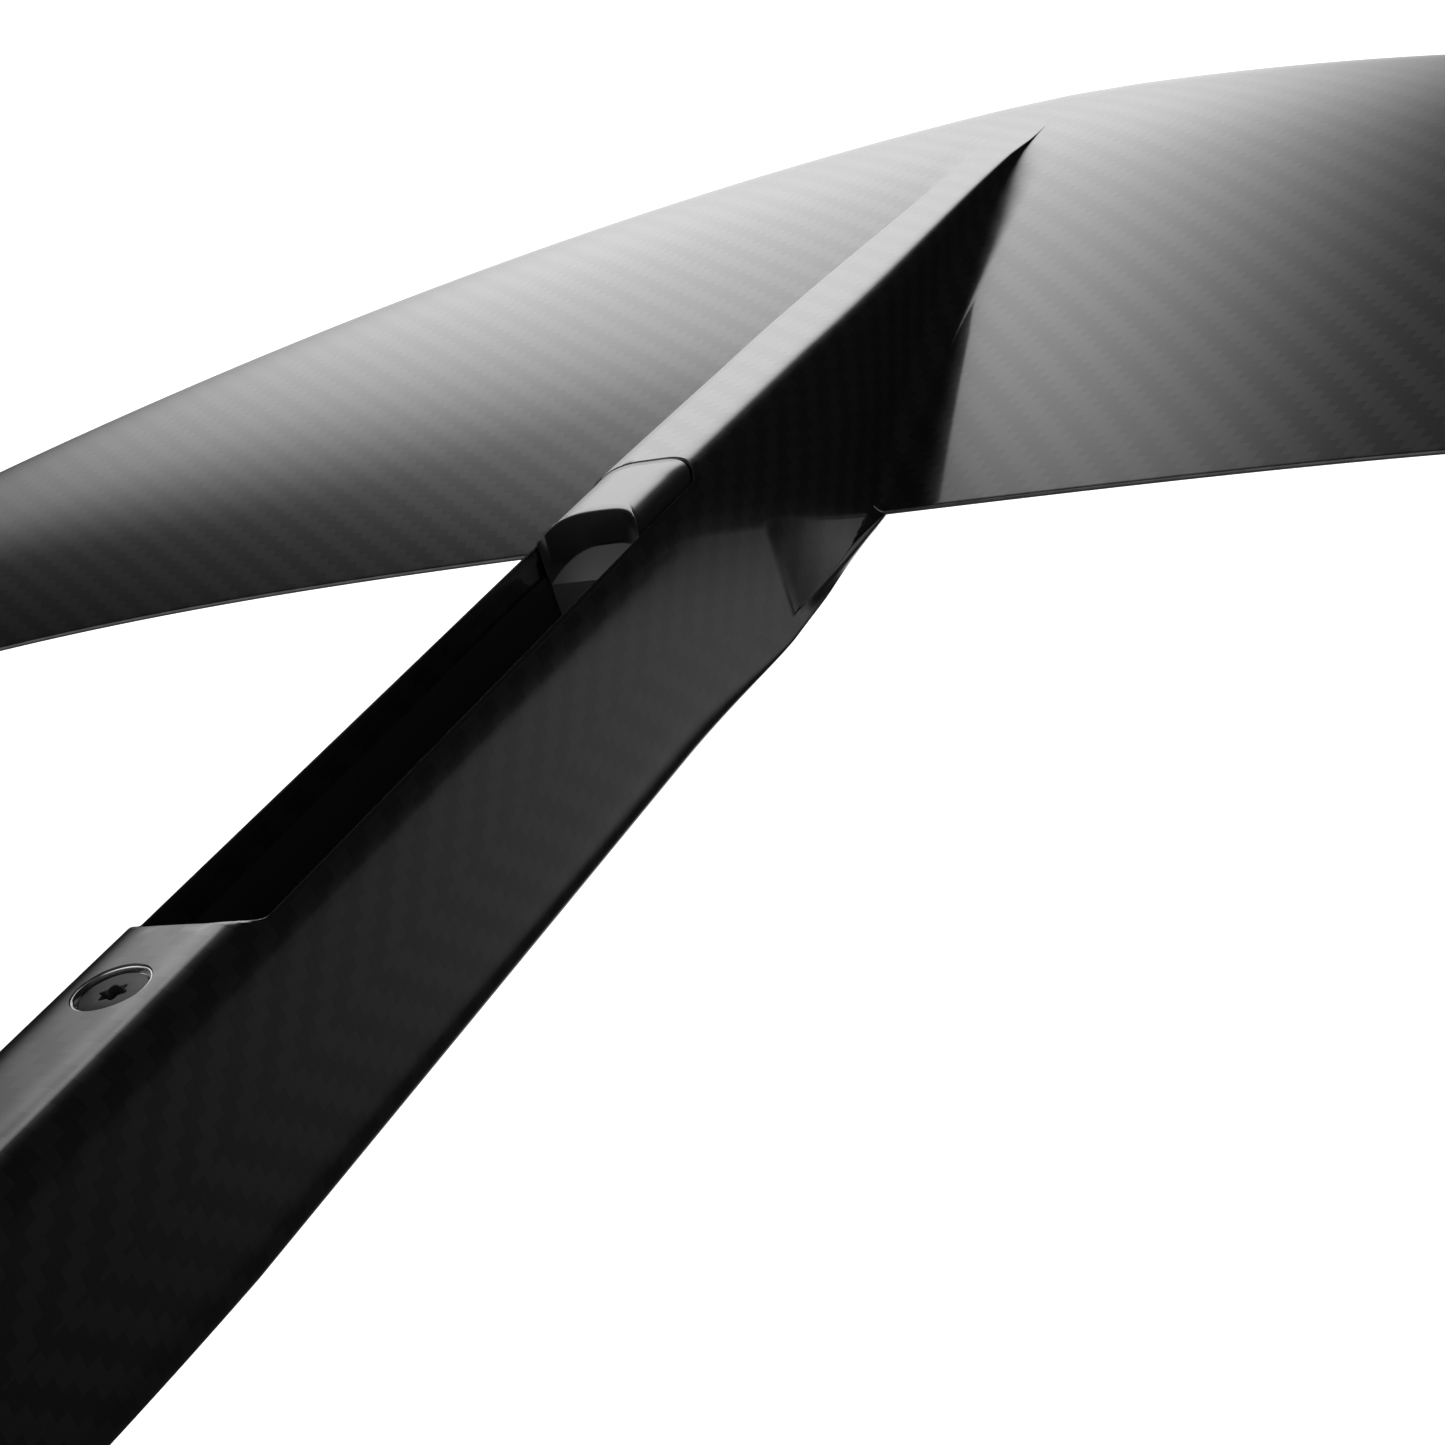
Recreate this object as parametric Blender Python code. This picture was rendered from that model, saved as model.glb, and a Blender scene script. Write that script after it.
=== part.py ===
"""Hydrofoil front wing with an integral fuselage and a mast socket.

Frame: +Z up, nose towards -Y, tail towards +Y, span along X. The origin is the
centre of the mast seat, the flat floor of the socket. Dimensions are in
millimetres and become metres where a mesh is made.
"""

import math

import bmesh
import bpy

MM = 0.001

# --- planform of the wing ---
HALF_SPAN = 442.5
LE_ROOT_Y = -444.7
LE_RAKE = 31.4
LE_POWER = 1.87
LE_ROUND = 1.717
TE_ROOT_Y = -171.3
TE_BOW = 2.7
TE_POWER = 3.57
TIP_Y = -43.9
TE_ROOT_Z = -6.4
TIP_DROOP = 11.3
INCIDENCE = 0.0734
TIP_FRACTION = 0.996

# --- aerofoil, as fractions of the chord ---
THICKNESS = 0.112
CAMBER = 0.028
CAMBER_AT = 0.4
TE_HALF = 0.5

# --- laminate and gaps ---
SKIN = 1.5
GAP = 0.3
CUTTER_OVERRUN = 10.0
CUTTER_LAP = 2.0
HALF_GAP = GAP / 2
CORE_INSET = SKIN + GAP
SOLID_TIP_FROM = 0.95
CORE_START_X = 14.4

# --- fuselage ---
CROWN_Z = 38.0
BELLY_Z = -15.3
HALF_WIDTH = 15.0
NOSE_HALF_WIDTH = 8.0
QUADRANT = 26.5
CORNER_POWER = 4.9
ROOT_X = 20.0
FLARE_X = 5.0
FLARE_END_Y = -121.0
FLARE_CURVED = 0.5
FILLET_HEIGHT = 22.0
FILLET_SHARE = 0.38
FILLET_FADE = 4.0
NOSE_DROP_FROM_Y = -90.0
NOSE_SLOPE = 0.012
NOSE_CURVE = 0.00005
NOSE_NARROW_FROM_Y = -180.0
NOSE_NARROW_OVER = 170.0
RIDGE_FROM = 0.25
RIDGE_OVER = 0.13
RIDGE_SOFTNESS = 1.0
CAPPED_FROM = 0.6
PARTING_RISE_OVER = 60.0
BELLY_RISE_FROM_Y = -120.0
BELLY_RISE_OVER = 280.0
BELLY_RISE_LINEAR = 9.0
BELLY_RISE_SQUARE = 6.0
BELLY_CORNER_POWER = 2.4
BELLY_CORNER_FROM_Y = -118.0
BELLY_CORNER_OVER = 50.0
TAPER_FROM_Y = 113.0
TAPER_SLOPE = 0.03
TAPER_CURVE = 0.0003
TAIL_CORE_END_Y = 281.0
TAIL_Y = 290.0
CAP_Y = 282.0
TAIL_HALF_WIDTH = 13.0
CAP_PROFILE = ((0.0, 1.0), (3.5, 0.97), (6.3, 0.87), (8.0, 0.68))
CAP_POWER = 3.6

# --- mast socket ---
SLOT_HALF_WIDTH = 12.8
SLOT_REAR_Y = 86.1
SLOT_FRONT_Y = -107.5
SLOT_FRONT_RADIUS = 9.5
SLOT_REAR_RADIUS = 7.5
SOCKET_FRONT_Y = -112.0
SOCKET_REAR_Y = 118.0
HEEL_POCKET = ((-8.5, 84.0, 12.0), (8.5, 114.0, 22.0))
BLOCK_FLOOR_Z = 2.0
SKIN_SLOT_FROM_Z = 14.0

# --- filler that closes the slot in front of the mast ---
FILLER_GAP = 0.45
ARC_APEX_Y = -79.6
ARC_SIDE_Y = -72.0
ARC_POWER = 3.0
ARC_ROUND = 0.9
RAMP_TOP_Z = 30.2
LEDGE_Y = -72.5
LEDGE_Z = 25.6
CROWN_CUT_Y = (-130.0, -60.0)
CROWN_CUT_X = 14.4

# --- mast screw, an M6 countersunk screw ---
SCREW_Y = 105.3
SCREW_TOP_Z = 37.0
HEAD_RADIUS = 6.0
HEAD_CHAMFER = 0.2
HEAD_RIM = 0.5
SHANK_RADIUS = 2.95
SHANK_CHAMFER = 0.8
SHANK_CLEARANCE = 0.5
SCREW_LENGTH = 40.0
DRIVE_RADIUS = 2.6
DRIVE_DEPTH = 2.6
DRIVE_WAVE = 0.14
SEAT_RADIUS = 6.5
SEAT_RIM_RADIUS = 6.9
SEAT_BODY_RADIUS = 8.2
SEAT_TOP_Z = 37.7
SEAT_SHOULDER_Z = 35.2
SEAT_BOTTOM_Z = 26.0
SEAT_HOLE_FROM_Z = 24.0
SEAL_BORE = 4.8
SEAL_Z = 32.1
SEAL_CLEARANCE = 0.25
SEAL_SIDES = 8
INSERT_RADIUS = 5.0
INSERT_BORE = 3.05
INSERT_TOP_Z = 11.4
INSERT_BOTTOM_Z = -8.0
INSERT_FLOOR = 2.0

# --- stabiliser pad on the tail ---
PAD_Z = 30.0
PAD_FRONT_Y = 226.0
PAD_HALF_WIDTH = 9.5
PAD_DEPTH = 11.0
STABILISER_SCREW_Y = (240.0, 268.0)
STABILISER_INSERT_RADIUS = 4.0
STABILISER_BORE = 2.6
STABILISER_INSERT_LIFT = 1.0
STABILISER_INSERT_SUNK = 0.2
NOTCH_HALF_WIDTH = 30.0
NOTCH_REAR_Y = 300.0
NOTCH_TOP_Z = 60.0

# --- main spar ---
SPAR_FRACTION = 0.34
SPAR_HALF_WIDTH = 11.0
SPAR_END_X = 250.0
SPAR_COVER = 2.2

ROUND_STEPS = 28
SMALL_ROUND_STEPS = 24


# ---------------------------------------------------------------- helpers


def smoothstep(value):
    """0 below 0, 1 above 1, and a smooth rise between."""
    value = min(max(value, 0.0), 1.0)
    return value * value * (3.0 - 2.0 * value)


def steps(low, high, count):
    """count + 1 evenly spaced values from low to high."""
    return [low + (high - low) * index / count for index in range(count + 1)]


def material(name, colour, roughness, metallic=0.0):
    made = bpy.data.materials.new(name)
    made.use_nodes = True
    shader = made.node_tree.nodes["Principled BSDF"]
    shader.inputs["Base Color"].default_value = (*colour, 1.0)
    shader.inputs["Roughness"].default_value = roughness
    shader.inputs["Metallic"].default_value = metallic
    return made


def new_object(name, points, faces, finish, smooth_angle=30.0):
    """An object from points in millimetres, with its faces turned outwards."""
    mesh = bpy.data.meshes.new(name)
    work = bmesh.new()
    corners = [work.verts.new([value * MM for value in point]) for point in points]
    for face in faces:
        work.faces.new([corners[index] for index in face])
    bmesh.ops.remove_doubles(work, verts=work.verts, dist=1e-6)
    bmesh.ops.recalc_face_normals(work, faces=work.faces)
    if work.calc_volume(signed=True) < 0:
        bmesh.ops.reverse_faces(work, faces=work.faces)
    work.to_mesh(mesh)
    work.free()
    mesh.shade_smooth()
    mesh.set_sharp_from_angle(angle=math.radians(smooth_angle))
    made = bpy.data.objects.new(name, mesh)
    bpy.context.scene.collection.objects.link(made)
    if finish is not None:
        mesh.materials.append(finish)
    return made


def as_cutter(obj):
    obj.hide_render = True
    obj.display_type = "WIRE"
    return obj


def cut(target, cutter):
    modifier = target.modifiers.new("cut_" + cutter.name, "BOOLEAN")
    modifier.operation = "DIFFERENCE"
    modifier.solver = "EXACT"
    modifier.object = cutter


def box(name, low, high, finish=None):
    xs, ys, zs = zip(low, high)
    points = [(x, y, z) for x in xs for y in ys for z in zs]
    faces = [(0, 1, 3, 2), (4, 6, 7, 5), (0, 4, 5, 1), (2, 3, 7, 6), (0, 2, 6, 4), (1, 5, 7, 3)]
    return new_object(name, points, faces, finish)


def prism(name, outline, low_z, high_z, finish=None):
    """An outline in plan, pulled up from low_z to high_z."""
    count = len(outline)
    points = [(x, y, low_z) for x, y in outline] + [(x, y, high_z) for x, y in outline]
    faces = [tuple(range(count)), tuple(range(2 * count - 1, count - 1, -1))]
    for index in range(count):
        after = (index + 1) % count
        faces.append((index, after, count + after, count + index))
    return new_object(name, points, faces, finish)


def turned(name, profile, centre, finish=None, count=ROUND_STEPS):
    """A closed (radius, height) profile turned about a vertical axis."""
    points = []
    rings = []
    for radius, height in profile:
        if radius == 0.0:
            rings.append([len(points)] * count)
            points.append((centre[0], centre[1], height))
            continue
        rings.append(list(range(len(points), len(points) + count)))
        for index in range(count):
            angle = 2 * math.pi * index / count
            points.append((
                centre[0] + radius * math.cos(angle),
                centre[1] + radius * math.sin(angle),
                height,
            ))
    faces = []
    pairs = list(zip(rings, rings[1:] + rings[:1]))
    for ring, above in pairs:
        for index in range(count):
            after = (index + 1) % count
            corners = [ring[index], ring[after], above[after], above[index]]
            corners = list(dict.fromkeys(corners))
            if len(corners) > 2:
                faces.append(corners)
    return new_object(name, points, faces, finish)


def rounded_slot(half_width, front_y, rear_y, front_radius, rear_radius, arc_steps=5):
    """Plan outline of the slot, a long rectangle with rounded corners."""
    outline = []
    corners = [
        (half_width - rear_radius, rear_y - rear_radius, rear_radius, 0.0),
        (-half_width + rear_radius, rear_y - rear_radius, rear_radius, 90.0),
        (-half_width + front_radius, front_y + front_radius, front_radius, 180.0),
        (half_width - front_radius, front_y + front_radius, front_radius, 270.0),
    ]
    for x, y, radius, start in corners:
        for degrees in steps(start, start + 90.0, arc_steps):
            angle = math.radians(degrees)
            outline.append((x + radius * math.cos(angle), y + radius * math.sin(angle)))
    return outline


# ---------------------------------------------------------------- wing surface


def planform(x):
    """Leading edge y and z, trailing edge y and z at a span position."""
    part = min(abs(x) / HALF_SPAN, 1.0)
    te_y = TE_ROOT_Y + TE_BOW * part**2
    te_y += (TIP_Y - TE_ROOT_Y - TE_BOW) * part**TE_POWER
    sweep = 1.0 - (1.0 - part**LE_POWER) ** (1.0 / LE_ROUND)
    le_y = LE_ROOT_Y + LE_RAKE * part + (TIP_Y - LE_ROOT_Y - LE_RAKE) * sweep
    te_z = TE_ROOT_Z - TIP_DROOP * part**3
    return le_y, te_z + INCIDENCE * (te_y - le_y), te_y, te_z


def camber_line(part):
    if part < CAMBER_AT:
        return CAMBER / CAMBER_AT**2 * (2 * CAMBER_AT * part - part**2)
    rear = 1 - 2 * CAMBER_AT + 2 * CAMBER_AT * part - part**2
    return CAMBER / (1 - CAMBER_AT) ** 2 * rear


def half_thickness(part):
    """NACA four-digit thickness with a closed trailing edge."""
    series = 0.2969 * math.sqrt(part) - 0.126 * part - 0.3516 * part**2
    series += 0.2843 * part**3 - 0.1036 * part**4
    return THICKNESS / 0.2 * series


def wing_z(x, y, side, inset):
    """Height of the wing's upper (+1) or lower (-1) surface, moved in by inset."""
    le_y, le_z, te_y, te_z = planform(x)
    chord = te_y - le_y
    part = min(max((y - le_y) / chord, 0.0), 1.0)
    middle = le_z + (te_z - le_z) * part + camber_line(part) * chord
    if inset and abs(x) / HALF_SPAN > SOLID_TIP_FROM:
        inset = chord
    half = half_thickness(part) * chord + TE_HALF * part - inset
    return middle + side * max(half, HALF_GAP)


def wing_y(x, part, inset):
    """Chordwise position, starting inset behind the leading edge."""
    le_y, _, te_y, _ = planform(x)
    return le_y + inset + (te_y - le_y - inset) * part


# ---------------------------------------------------------------- fuselage surface


def deck_z(y):
    ahead = max(NOSE_DROP_FROM_Y - y, 0.0)
    return CROWN_Z - NOSE_SLOPE * ahead - NOSE_CURVE * ahead**2


def belly_z(y):
    ahead = max(BELLY_RISE_FROM_Y - y, 0.0) / BELLY_RISE_OVER
    behind = max(y - TAPER_FROM_Y, 0.0)
    rise = BELLY_RISE_LINEAR * ahead + BELLY_RISE_SQUARE * ahead**2
    return BELLY_Z + rise + TAPER_SLOPE * behind + TAPER_CURVE * behind**2


def half_width(y):
    nose = smoothstep((NOSE_NARROW_FROM_Y - y) / NOSE_NARROW_OVER)
    tail = smoothstep((y - TAPER_FROM_Y) / (TAIL_Y - TAPER_FROM_Y))
    width = HALF_WIDTH - (HALF_WIDTH - NOSE_HALF_WIDTH) * nose
    return width - (HALF_WIDTH - TAIL_HALF_WIDTH) * tail


def flare(y):
    """1 at the trailing edge, falling to 0 where the fuselage side is plain."""
    left = min(max((FLARE_END_Y - y) / (FLARE_END_Y - TE_ROOT_Y), 0.0), 1.0)
    return FLARE_CURVED * left**3 + (1.0 - FLARE_CURVED) * left


def rise_above_wing(y, side):
    """How far the deck (or belly) stands proud of the wing surface beside it."""
    le_y, _, te_y, _ = planform(ROOT_X)
    surface = deck_z(y) if side > 0 else belly_z(y)
    proud = side * (surface - wing_z(ROOT_X, y, side, 0.0))
    soft = (proud + math.sqrt(proud**2 + RIDGE_SOFTNESS**2)) / 2
    return soft * smoothstep(((y - le_y) / (te_y - le_y) - RIDGE_FROM) / RIDGE_OVER)


def parting_z(y):
    """Height of the joint between the skins along the fuselage side."""
    middle = (CROWN_Z + BELLY_Z) / 2
    rise = smoothstep((y - FLARE_END_Y) / PARTING_RISE_OVER)
    return TE_ROOT_Z + (middle - TE_ROOT_Z) * rise


def corner_power(y, side):
    """Squareness of the fuselage corners, less on the belly beside the wing."""
    if side > 0:
        return CORNER_POWER
    softer = smoothstep((BELLY_CORNER_FROM_Y - y) / BELLY_CORNER_OVER)
    return CORNER_POWER - (CORNER_POWER - BELLY_CORNER_POWER) * softer


SHOULDER_ANGLES = (0.0, 8.0, 24.0, 40.0, 56.0, 72.0, 90.0)
FILLET_ANGLES = (20.0, 55.0, 90.0)
FUSELAGE_ROWS = len(SHOULDER_ANGLES) + len(FILLET_ANGLES) - 1


def section(y, side, inset, joint_x, joint_z, top_z, fillet=1.0):
    """Half outline from the centre, over the shoulder and out to the joint."""
    width = half_width(y) - inset
    height = side * (top_z - joint_z)
    rise = min(FILLET_HEIGHT, FILLET_SHARE * height) * fillet
    drop = min(QUADRANT, height - rise)
    power = 2.0 / corner_power(y, side)
    outline = []
    for degrees in SHOULDER_ANGLES:
        angle = math.radians(degrees)
        x = width * math.sin(angle) ** power
        down = drop * (1.0 - max(math.cos(angle), 0.0) ** power)
        outline.append((x, top_z - side * down))
    for degrees in FILLET_ANGLES:
        angle = math.radians(degrees)
        x = joint_x - (joint_x - width) * math.cos(angle)
        outline.append((x, joint_z + side * rise * (1.0 - math.sin(angle))))
    return outline


def root_section(part, side, inset):
    """Fuselage points beside the wing at a chord fraction, as (x, y, z)."""
    y = wing_y(ROOT_X, part, inset)
    joint_z = wing_z(ROOT_X, y, side, inset)
    surface = (deck_z(y) if side > 0 else belly_z(y)) - side * inset
    top_z = joint_z + side * rise_above_wing(y, side)
    if part > CAPPED_FROM:
        top_z = min(top_z, surface) if side > 0 else max(top_z, surface)
    shift = planform(0.0)[0] - planform(ROOT_X)[0]
    points = []
    for x, z in section(y, side, inset, ROOT_X, joint_z, top_z):
        blend = 1.0 - min(x / ROOT_X, 1.0)
        points.append((x, y + shift * blend * (1.0 - part), z))
    return points


def body_section(y, side, inset, half_gap):
    """Fuselage points behind the trailing edge, as (x, y, z)."""
    joint_x = half_width(y) + FLARE_X * flare(y) - inset
    joint_z = parting_z(y) + side * (half_gap + (TE_HALF - half_gap) * flare(y) * (inset == 0))
    surface = (deck_z(y) if side > 0 else belly_z(y)) - side * inset
    fillet = smoothstep(FILLET_FADE * flare(y))
    return [(x, y, z) for x, z in section(y, side, inset, joint_x, joint_z, surface, fillet)]


# ---------------------------------------------------------------- shells


CHORD_PARTS = (0.0, 0.008, 0.03, 0.08, 0.16, 0.28, 0.42, 0.56, 0.70, 0.83, 0.93, 1.0)
SPAN_ANGLES = steps(math.asin((ROOT_X + 4.0) / HALF_SPAN), math.asin(TIP_FRACTION), 9)
BODY_STATIONS = (
    -166.0, -158.0, -146.0, -134.0, -121.0, -112.0, -95.0, -61.0, 40.0, 95.0,
    120.0, 150.0, 185.0, 215.0, 240.0, 262.0, 281.7,
)


def skin_grid(side, inset):
    """Half skin as {(row, column): point}: row 0 is the centre plane."""
    grid = {}
    for column, part in enumerate(CHORD_PARTS):
        for row, point in enumerate(root_section(part, side, inset)):
            grid[row, column] = point
        for index, angle in enumerate(SPAN_ANGLES):
            x = HALF_SPAN * math.sin(angle)
            y = wing_y(x, part, inset)
            grid[FUSELAGE_ROWS + 1 + index, column] = (x, y, wing_z(x, y, side, inset))
    for index, y in enumerate(BODY_STATIONS):
        for row, point in enumerate(body_section(y, side, inset, HALF_GAP)):
            grid[row, len(CHORD_PARTS) + index] = point
    return grid


def mirrored(grid):
    """The grid with negative rows added on the other side of the centre plane."""
    both = dict(grid)
    for (row, column), (x, y, z) in grid.items():
        both[-row, column] = (-x, y, z)
    return both


def shell(name, outer, inner, finish):
    """A closed sheet between two grids that share their keys."""
    keys = sorted(outer)
    number = {key: index for index, key in enumerate(keys)}
    points = [outer[key] for key in keys] + [inner[key] for key in keys]
    depth = len(keys)
    faces = []
    edges = {}
    for row, column in keys:
        cell = [(row, column), (row + 1, column), (row + 1, column + 1), (row, column + 1)]
        if any(key not in number for key in cell):
            continue
        ring = [number[key] for key in cell]
        faces.append(ring)
        faces.append([depth + index for index in reversed(ring)])
        for start, end in zip(ring, ring[1:] + ring[:1]):
            key = (min(start, end), max(start, end))
            edges[key] = edges.get(key, 0) + 1
    for (start, end), uses in edges.items():
        if uses == 1:
            faces.append([start, end, depth + end, depth + start])
    return new_object(name, points, faces, finish)


def tip_inset(grid, inward):
    """Draws the last row of an inner grid in, so that the tip is closed."""
    last = max(row for row, _ in grid)
    for (row, column), (x, y, z) in list(grid.items()):
        if row == last:
            grid[row, column] = (x - inward, y, z)
    return grid


def skin(name, side, finish):
    outer = mirrored(skin_grid(side, 0.0))
    inner = mirrored(tip_inset(skin_grid(side, SKIN), SKIN))
    return shell(name, outer, inner, finish)


# ---------------------------------------------------------------- inner pieces


def wing_core(name, sign, finish):
    """Foam core of one wing half, between the skins and clear of them."""
    upper = {}
    lower = {}
    span = [HALF_SPAN * math.sin(angle) for angle in SPAN_ANGLES]
    rows = [ROOT_X] + [x for x in span if x < HALF_SPAN * SOLID_TIP_FROM]
    for column, part in enumerate(CHORD_PARTS[1:-2]):
        for row, x in enumerate(rows):
            y = wing_y(x, part, SKIN)
            upper[row + 1, column] = (sign * x, y, wing_z(x, y, 1, CORE_INSET))
            lower[row + 1, column] = (sign * x, y, wing_z(x, y, -1, CORE_INSET))
        for grid in (upper, lower):
            _, y, z = grid[1, column]
            grid[0, column] = (sign * CORE_START_X, y, z)
    return shell(name, upper, lower, finish)


def core_outline(y, upper, lower):
    """Closed section of an inner fuselage piece from its two half outlines."""
    count = len(SHOULDER_ANGLES)
    right = [(x, z) for x, _, z in upper[:count]] + [(x, z) for x, _, z in lower[:count][::-1]]
    left = [(-x, z) for x, z in right[::-1] if x > 1e-6]
    return [(x, y, z) for x, z in right + left]


def loft(name, sections, finish):
    """Closed solid through sections that all have the same number of points."""
    count = len(sections[0])
    points = [point for outline in sections for point in outline]
    faces = [tuple(range(count)), tuple(range(len(points) - 1, len(points) - count - 1, -1))]
    for layer in range(len(sections) - 1):
        base = layer * count
        for index in range(count):
            after = (index + 1) % count
            faces.append((base + index, base + after, base + count + after, base + count + index))
    return new_object(name, points, faces, finish)


def body_core(name, stations, finish, inset=CORE_INSET):
    """Solid that fills the fuselage shell behind the trailing edge."""
    sections = []
    for y in stations:
        upper = body_section(y, 1, inset, 1.0)
        lower = body_section(y, -1, inset, 1.0)
        sections.append(core_outline(y, upper, lower))
    return loft(name, sections, finish)


def nose_core(finish):
    """Solid that fills the fuselage shell from the nose to the socket."""
    sections = []
    for part in CHORD_PARTS[4:-1]:
        y = wing_y(ROOT_X, part, CORE_INSET)
        upper = root_section(part, 1, CORE_INSET)
        lower = root_section(part, -1, CORE_INSET)
        sections.append(core_outline(y, upper, lower))
    for y in (*BODY_STATIONS[1:5], SOCKET_FRONT_Y - GAP):
        upper = body_section(y, 1, CORE_INSET, 1.0)
        lower = body_section(y, -1, CORE_INSET, 1.0)
        sections.append(core_outline(y, upper, lower))
    return loft("nose_core", sections, finish)


def spar(name, clearance, finish=None):
    """Swept box spar through the roots of both wing halves."""
    sections = []
    end = SPAR_END_X + clearance
    for x in (-end, -SPAR_END_X / 2, 0.0, SPAR_END_X / 2, end):
        y = wing_y(x, SPAR_FRACTION, 0.0)
        low = wing_z(x, y, -1, CORE_INSET + SPAR_COVER) - clearance
        high = wing_z(x, y, 1, CORE_INSET + SPAR_COVER) + clearance
        half = SPAR_HALF_WIDTH + clearance
        sections.append([(x, y - half, low), (x, y + half, low), (x, y + half, high), (x, y - half, high)])
    return loft(name, sections, finish)


def mast_socket(finish):
    """Moulded socket that fills the fuselage around the slot."""
    made = body_core("mast_socket", (*BODY_STATIONS[5:10], SOCKET_REAR_Y), finish)
    outline = rounded_slot(
        SLOT_HALF_WIDTH, SLOT_FRONT_Y, SLOT_REAR_Y, SLOT_FRONT_RADIUS, SLOT_REAR_RADIUS
    )
    cut(made, as_cutter(prism("block_cavity", outline, BLOCK_FLOOR_Z, CROWN_Z + CUTTER_OVERRUN)))
    mast_outline = [point for point in outline if point[1] > LEDGE_Y]
    mast_outline += [(-SLOT_HALF_WIDTH, LEDGE_Y), (SLOT_HALF_WIDTH, LEDGE_Y)]
    cut(made, as_cutter(prism("mast_cavity", mast_outline, 0.0, BLOCK_FLOOR_Z + CUTTER_LAP)))
    cut(made, as_cutter(box("heel_pocket", *HEEL_POCKET)))
    return made


# ---------------------------------------------------------------- filler


def arc_outline(inset):
    """Plan outline of the filler: rounded front, hollow rear for the mast's nose."""
    width = SLOT_HALF_WIDTH - inset
    front_y = SLOT_FRONT_Y + inset
    radius = SLOT_FRONT_RADIUS - inset
    outline = []
    for degrees in steps(180.0, 270.0, 5):
        angle = math.radians(degrees)
        outline.append((
            -width + radius + radius * math.cos(angle),
            front_y + radius + radius * math.sin(angle),
        ))
    for degrees in steps(270.0, 360.0, 5):
        angle = math.radians(degrees)
        outline.append((
            width - radius + radius * math.cos(angle),
            front_y + radius + radius * math.sin(angle),
        ))
    for degrees in steps(0.0, 180.0, 16):
        across = math.cos(math.radians(degrees))
        depth = max(1.0 - abs(across) ** ARC_POWER, 0.0) ** ARC_ROUND
        outline.append((width * across, ARC_SIDE_Y + (ARC_APEX_Y - ARC_SIDE_Y) * depth))
    return outline


def crown_drop(x):
    """How far the fuselage top lies below its crown at a distance from the centre."""
    part = min(abs(x) / HALF_WIDTH, 1.0)
    return QUADRANT * (1.0 - (1.0 - part**CORNER_POWER) ** (1.0 / CORNER_POWER))


def slot_filler(finish):
    """Cap that closes the slot in front of the mast, crowned like the deck."""
    made = prism("slot_filler", arc_outline(FILLER_GAP), LEDGE_Z, CROWN_Z + CUTTER_LAP, finish)
    cut(made, as_cutter(block("filler_underside", SLOT_HALF_WIDTH + CUTTER_LAP, GAP)))
    above_z = CROWN_Z + CUTTER_OVERRUN
    sections = []
    for y in CROWN_CUT_Y:
        across = steps(-CROWN_CUT_X, CROWN_CUT_X, 12)
        outline = [(x, y, deck_z(y) - crown_drop(x)) for x in across]
        outline += [(CROWN_CUT_X, y, above_z), (-CROWN_CUT_X, y, above_z)]
        sections.append(outline)
    cut(made, as_cutter(loft("filler_crown", sections, None)))
    return made


def block(name, half, clearance, finish=None):
    """Block under the filler, with a ramp from its top down to the mast's nose.

    With a clearance it is a cutter instead, raised by it and longer at both ends.
    """
    over = CUTTER_OVERRUN if clearance else 0.0
    front_y = SLOT_FRONT_Y + SLOT_FRONT_RADIUS - over
    rear_y = LEDGE_Y + over
    slope = (LEDGE_Z - RAMP_TOP_Z) / (LEDGE_Y - ARC_APEX_Y)
    top = RAMP_TOP_Z + clearance
    rear_z = LEDGE_Z + clearance + slope * (rear_y - LEDGE_Y)
    low = BLOCK_FLOOR_Z + GAP - over
    profile = [(front_y, low), (rear_y, low), (rear_y, rear_z), (ARC_APEX_Y, top), (front_y, top)]
    sections = [[(x, y, z) for y, z in profile] for x in (-half, half)]
    return loft(name, sections, finish)


# ---------------------------------------------------------------- screw and inserts


def star_outline(radius, lobes=6, points=4):
    """Plan outline of a six-lobed drive recess."""
    outline = []
    count = lobes * points
    for index in range(count):
        angle = 2 * math.pi * index / count
        reach = radius * (1.0 - DRIVE_WAVE + DRIVE_WAVE * math.cos(lobes * angle))
        outline.append((reach * math.cos(angle), SCREW_Y + reach * math.sin(angle)))
    return outline


def mast_screw(finish):
    top = SCREW_TOP_Z
    end_z = top - SCREW_LENGTH
    cone = HEAD_RADIUS - SHANK_RADIUS
    profile = [
        (0.0, top), (HEAD_RADIUS - HEAD_CHAMFER, top), (HEAD_RADIUS, top - HEAD_CHAMFER),
        (HEAD_RADIUS, top - HEAD_RIM), (SHANK_RADIUS, top - HEAD_RIM - cone),
        (SHANK_RADIUS, end_z + SHANK_CHAMFER), (SHANK_RADIUS - SHANK_CHAMFER, end_z),
        (0.0, end_z),
    ]
    made = turned("mast_screw", profile[::-1], (0.0, SCREW_Y), finish)
    star = star_outline(DRIVE_RADIUS)
    recess = prism("drive_recess", star, top - DRIVE_DEPTH, top + CUTTER_LAP)
    cut(made, as_cutter(recess))
    return made


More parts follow.
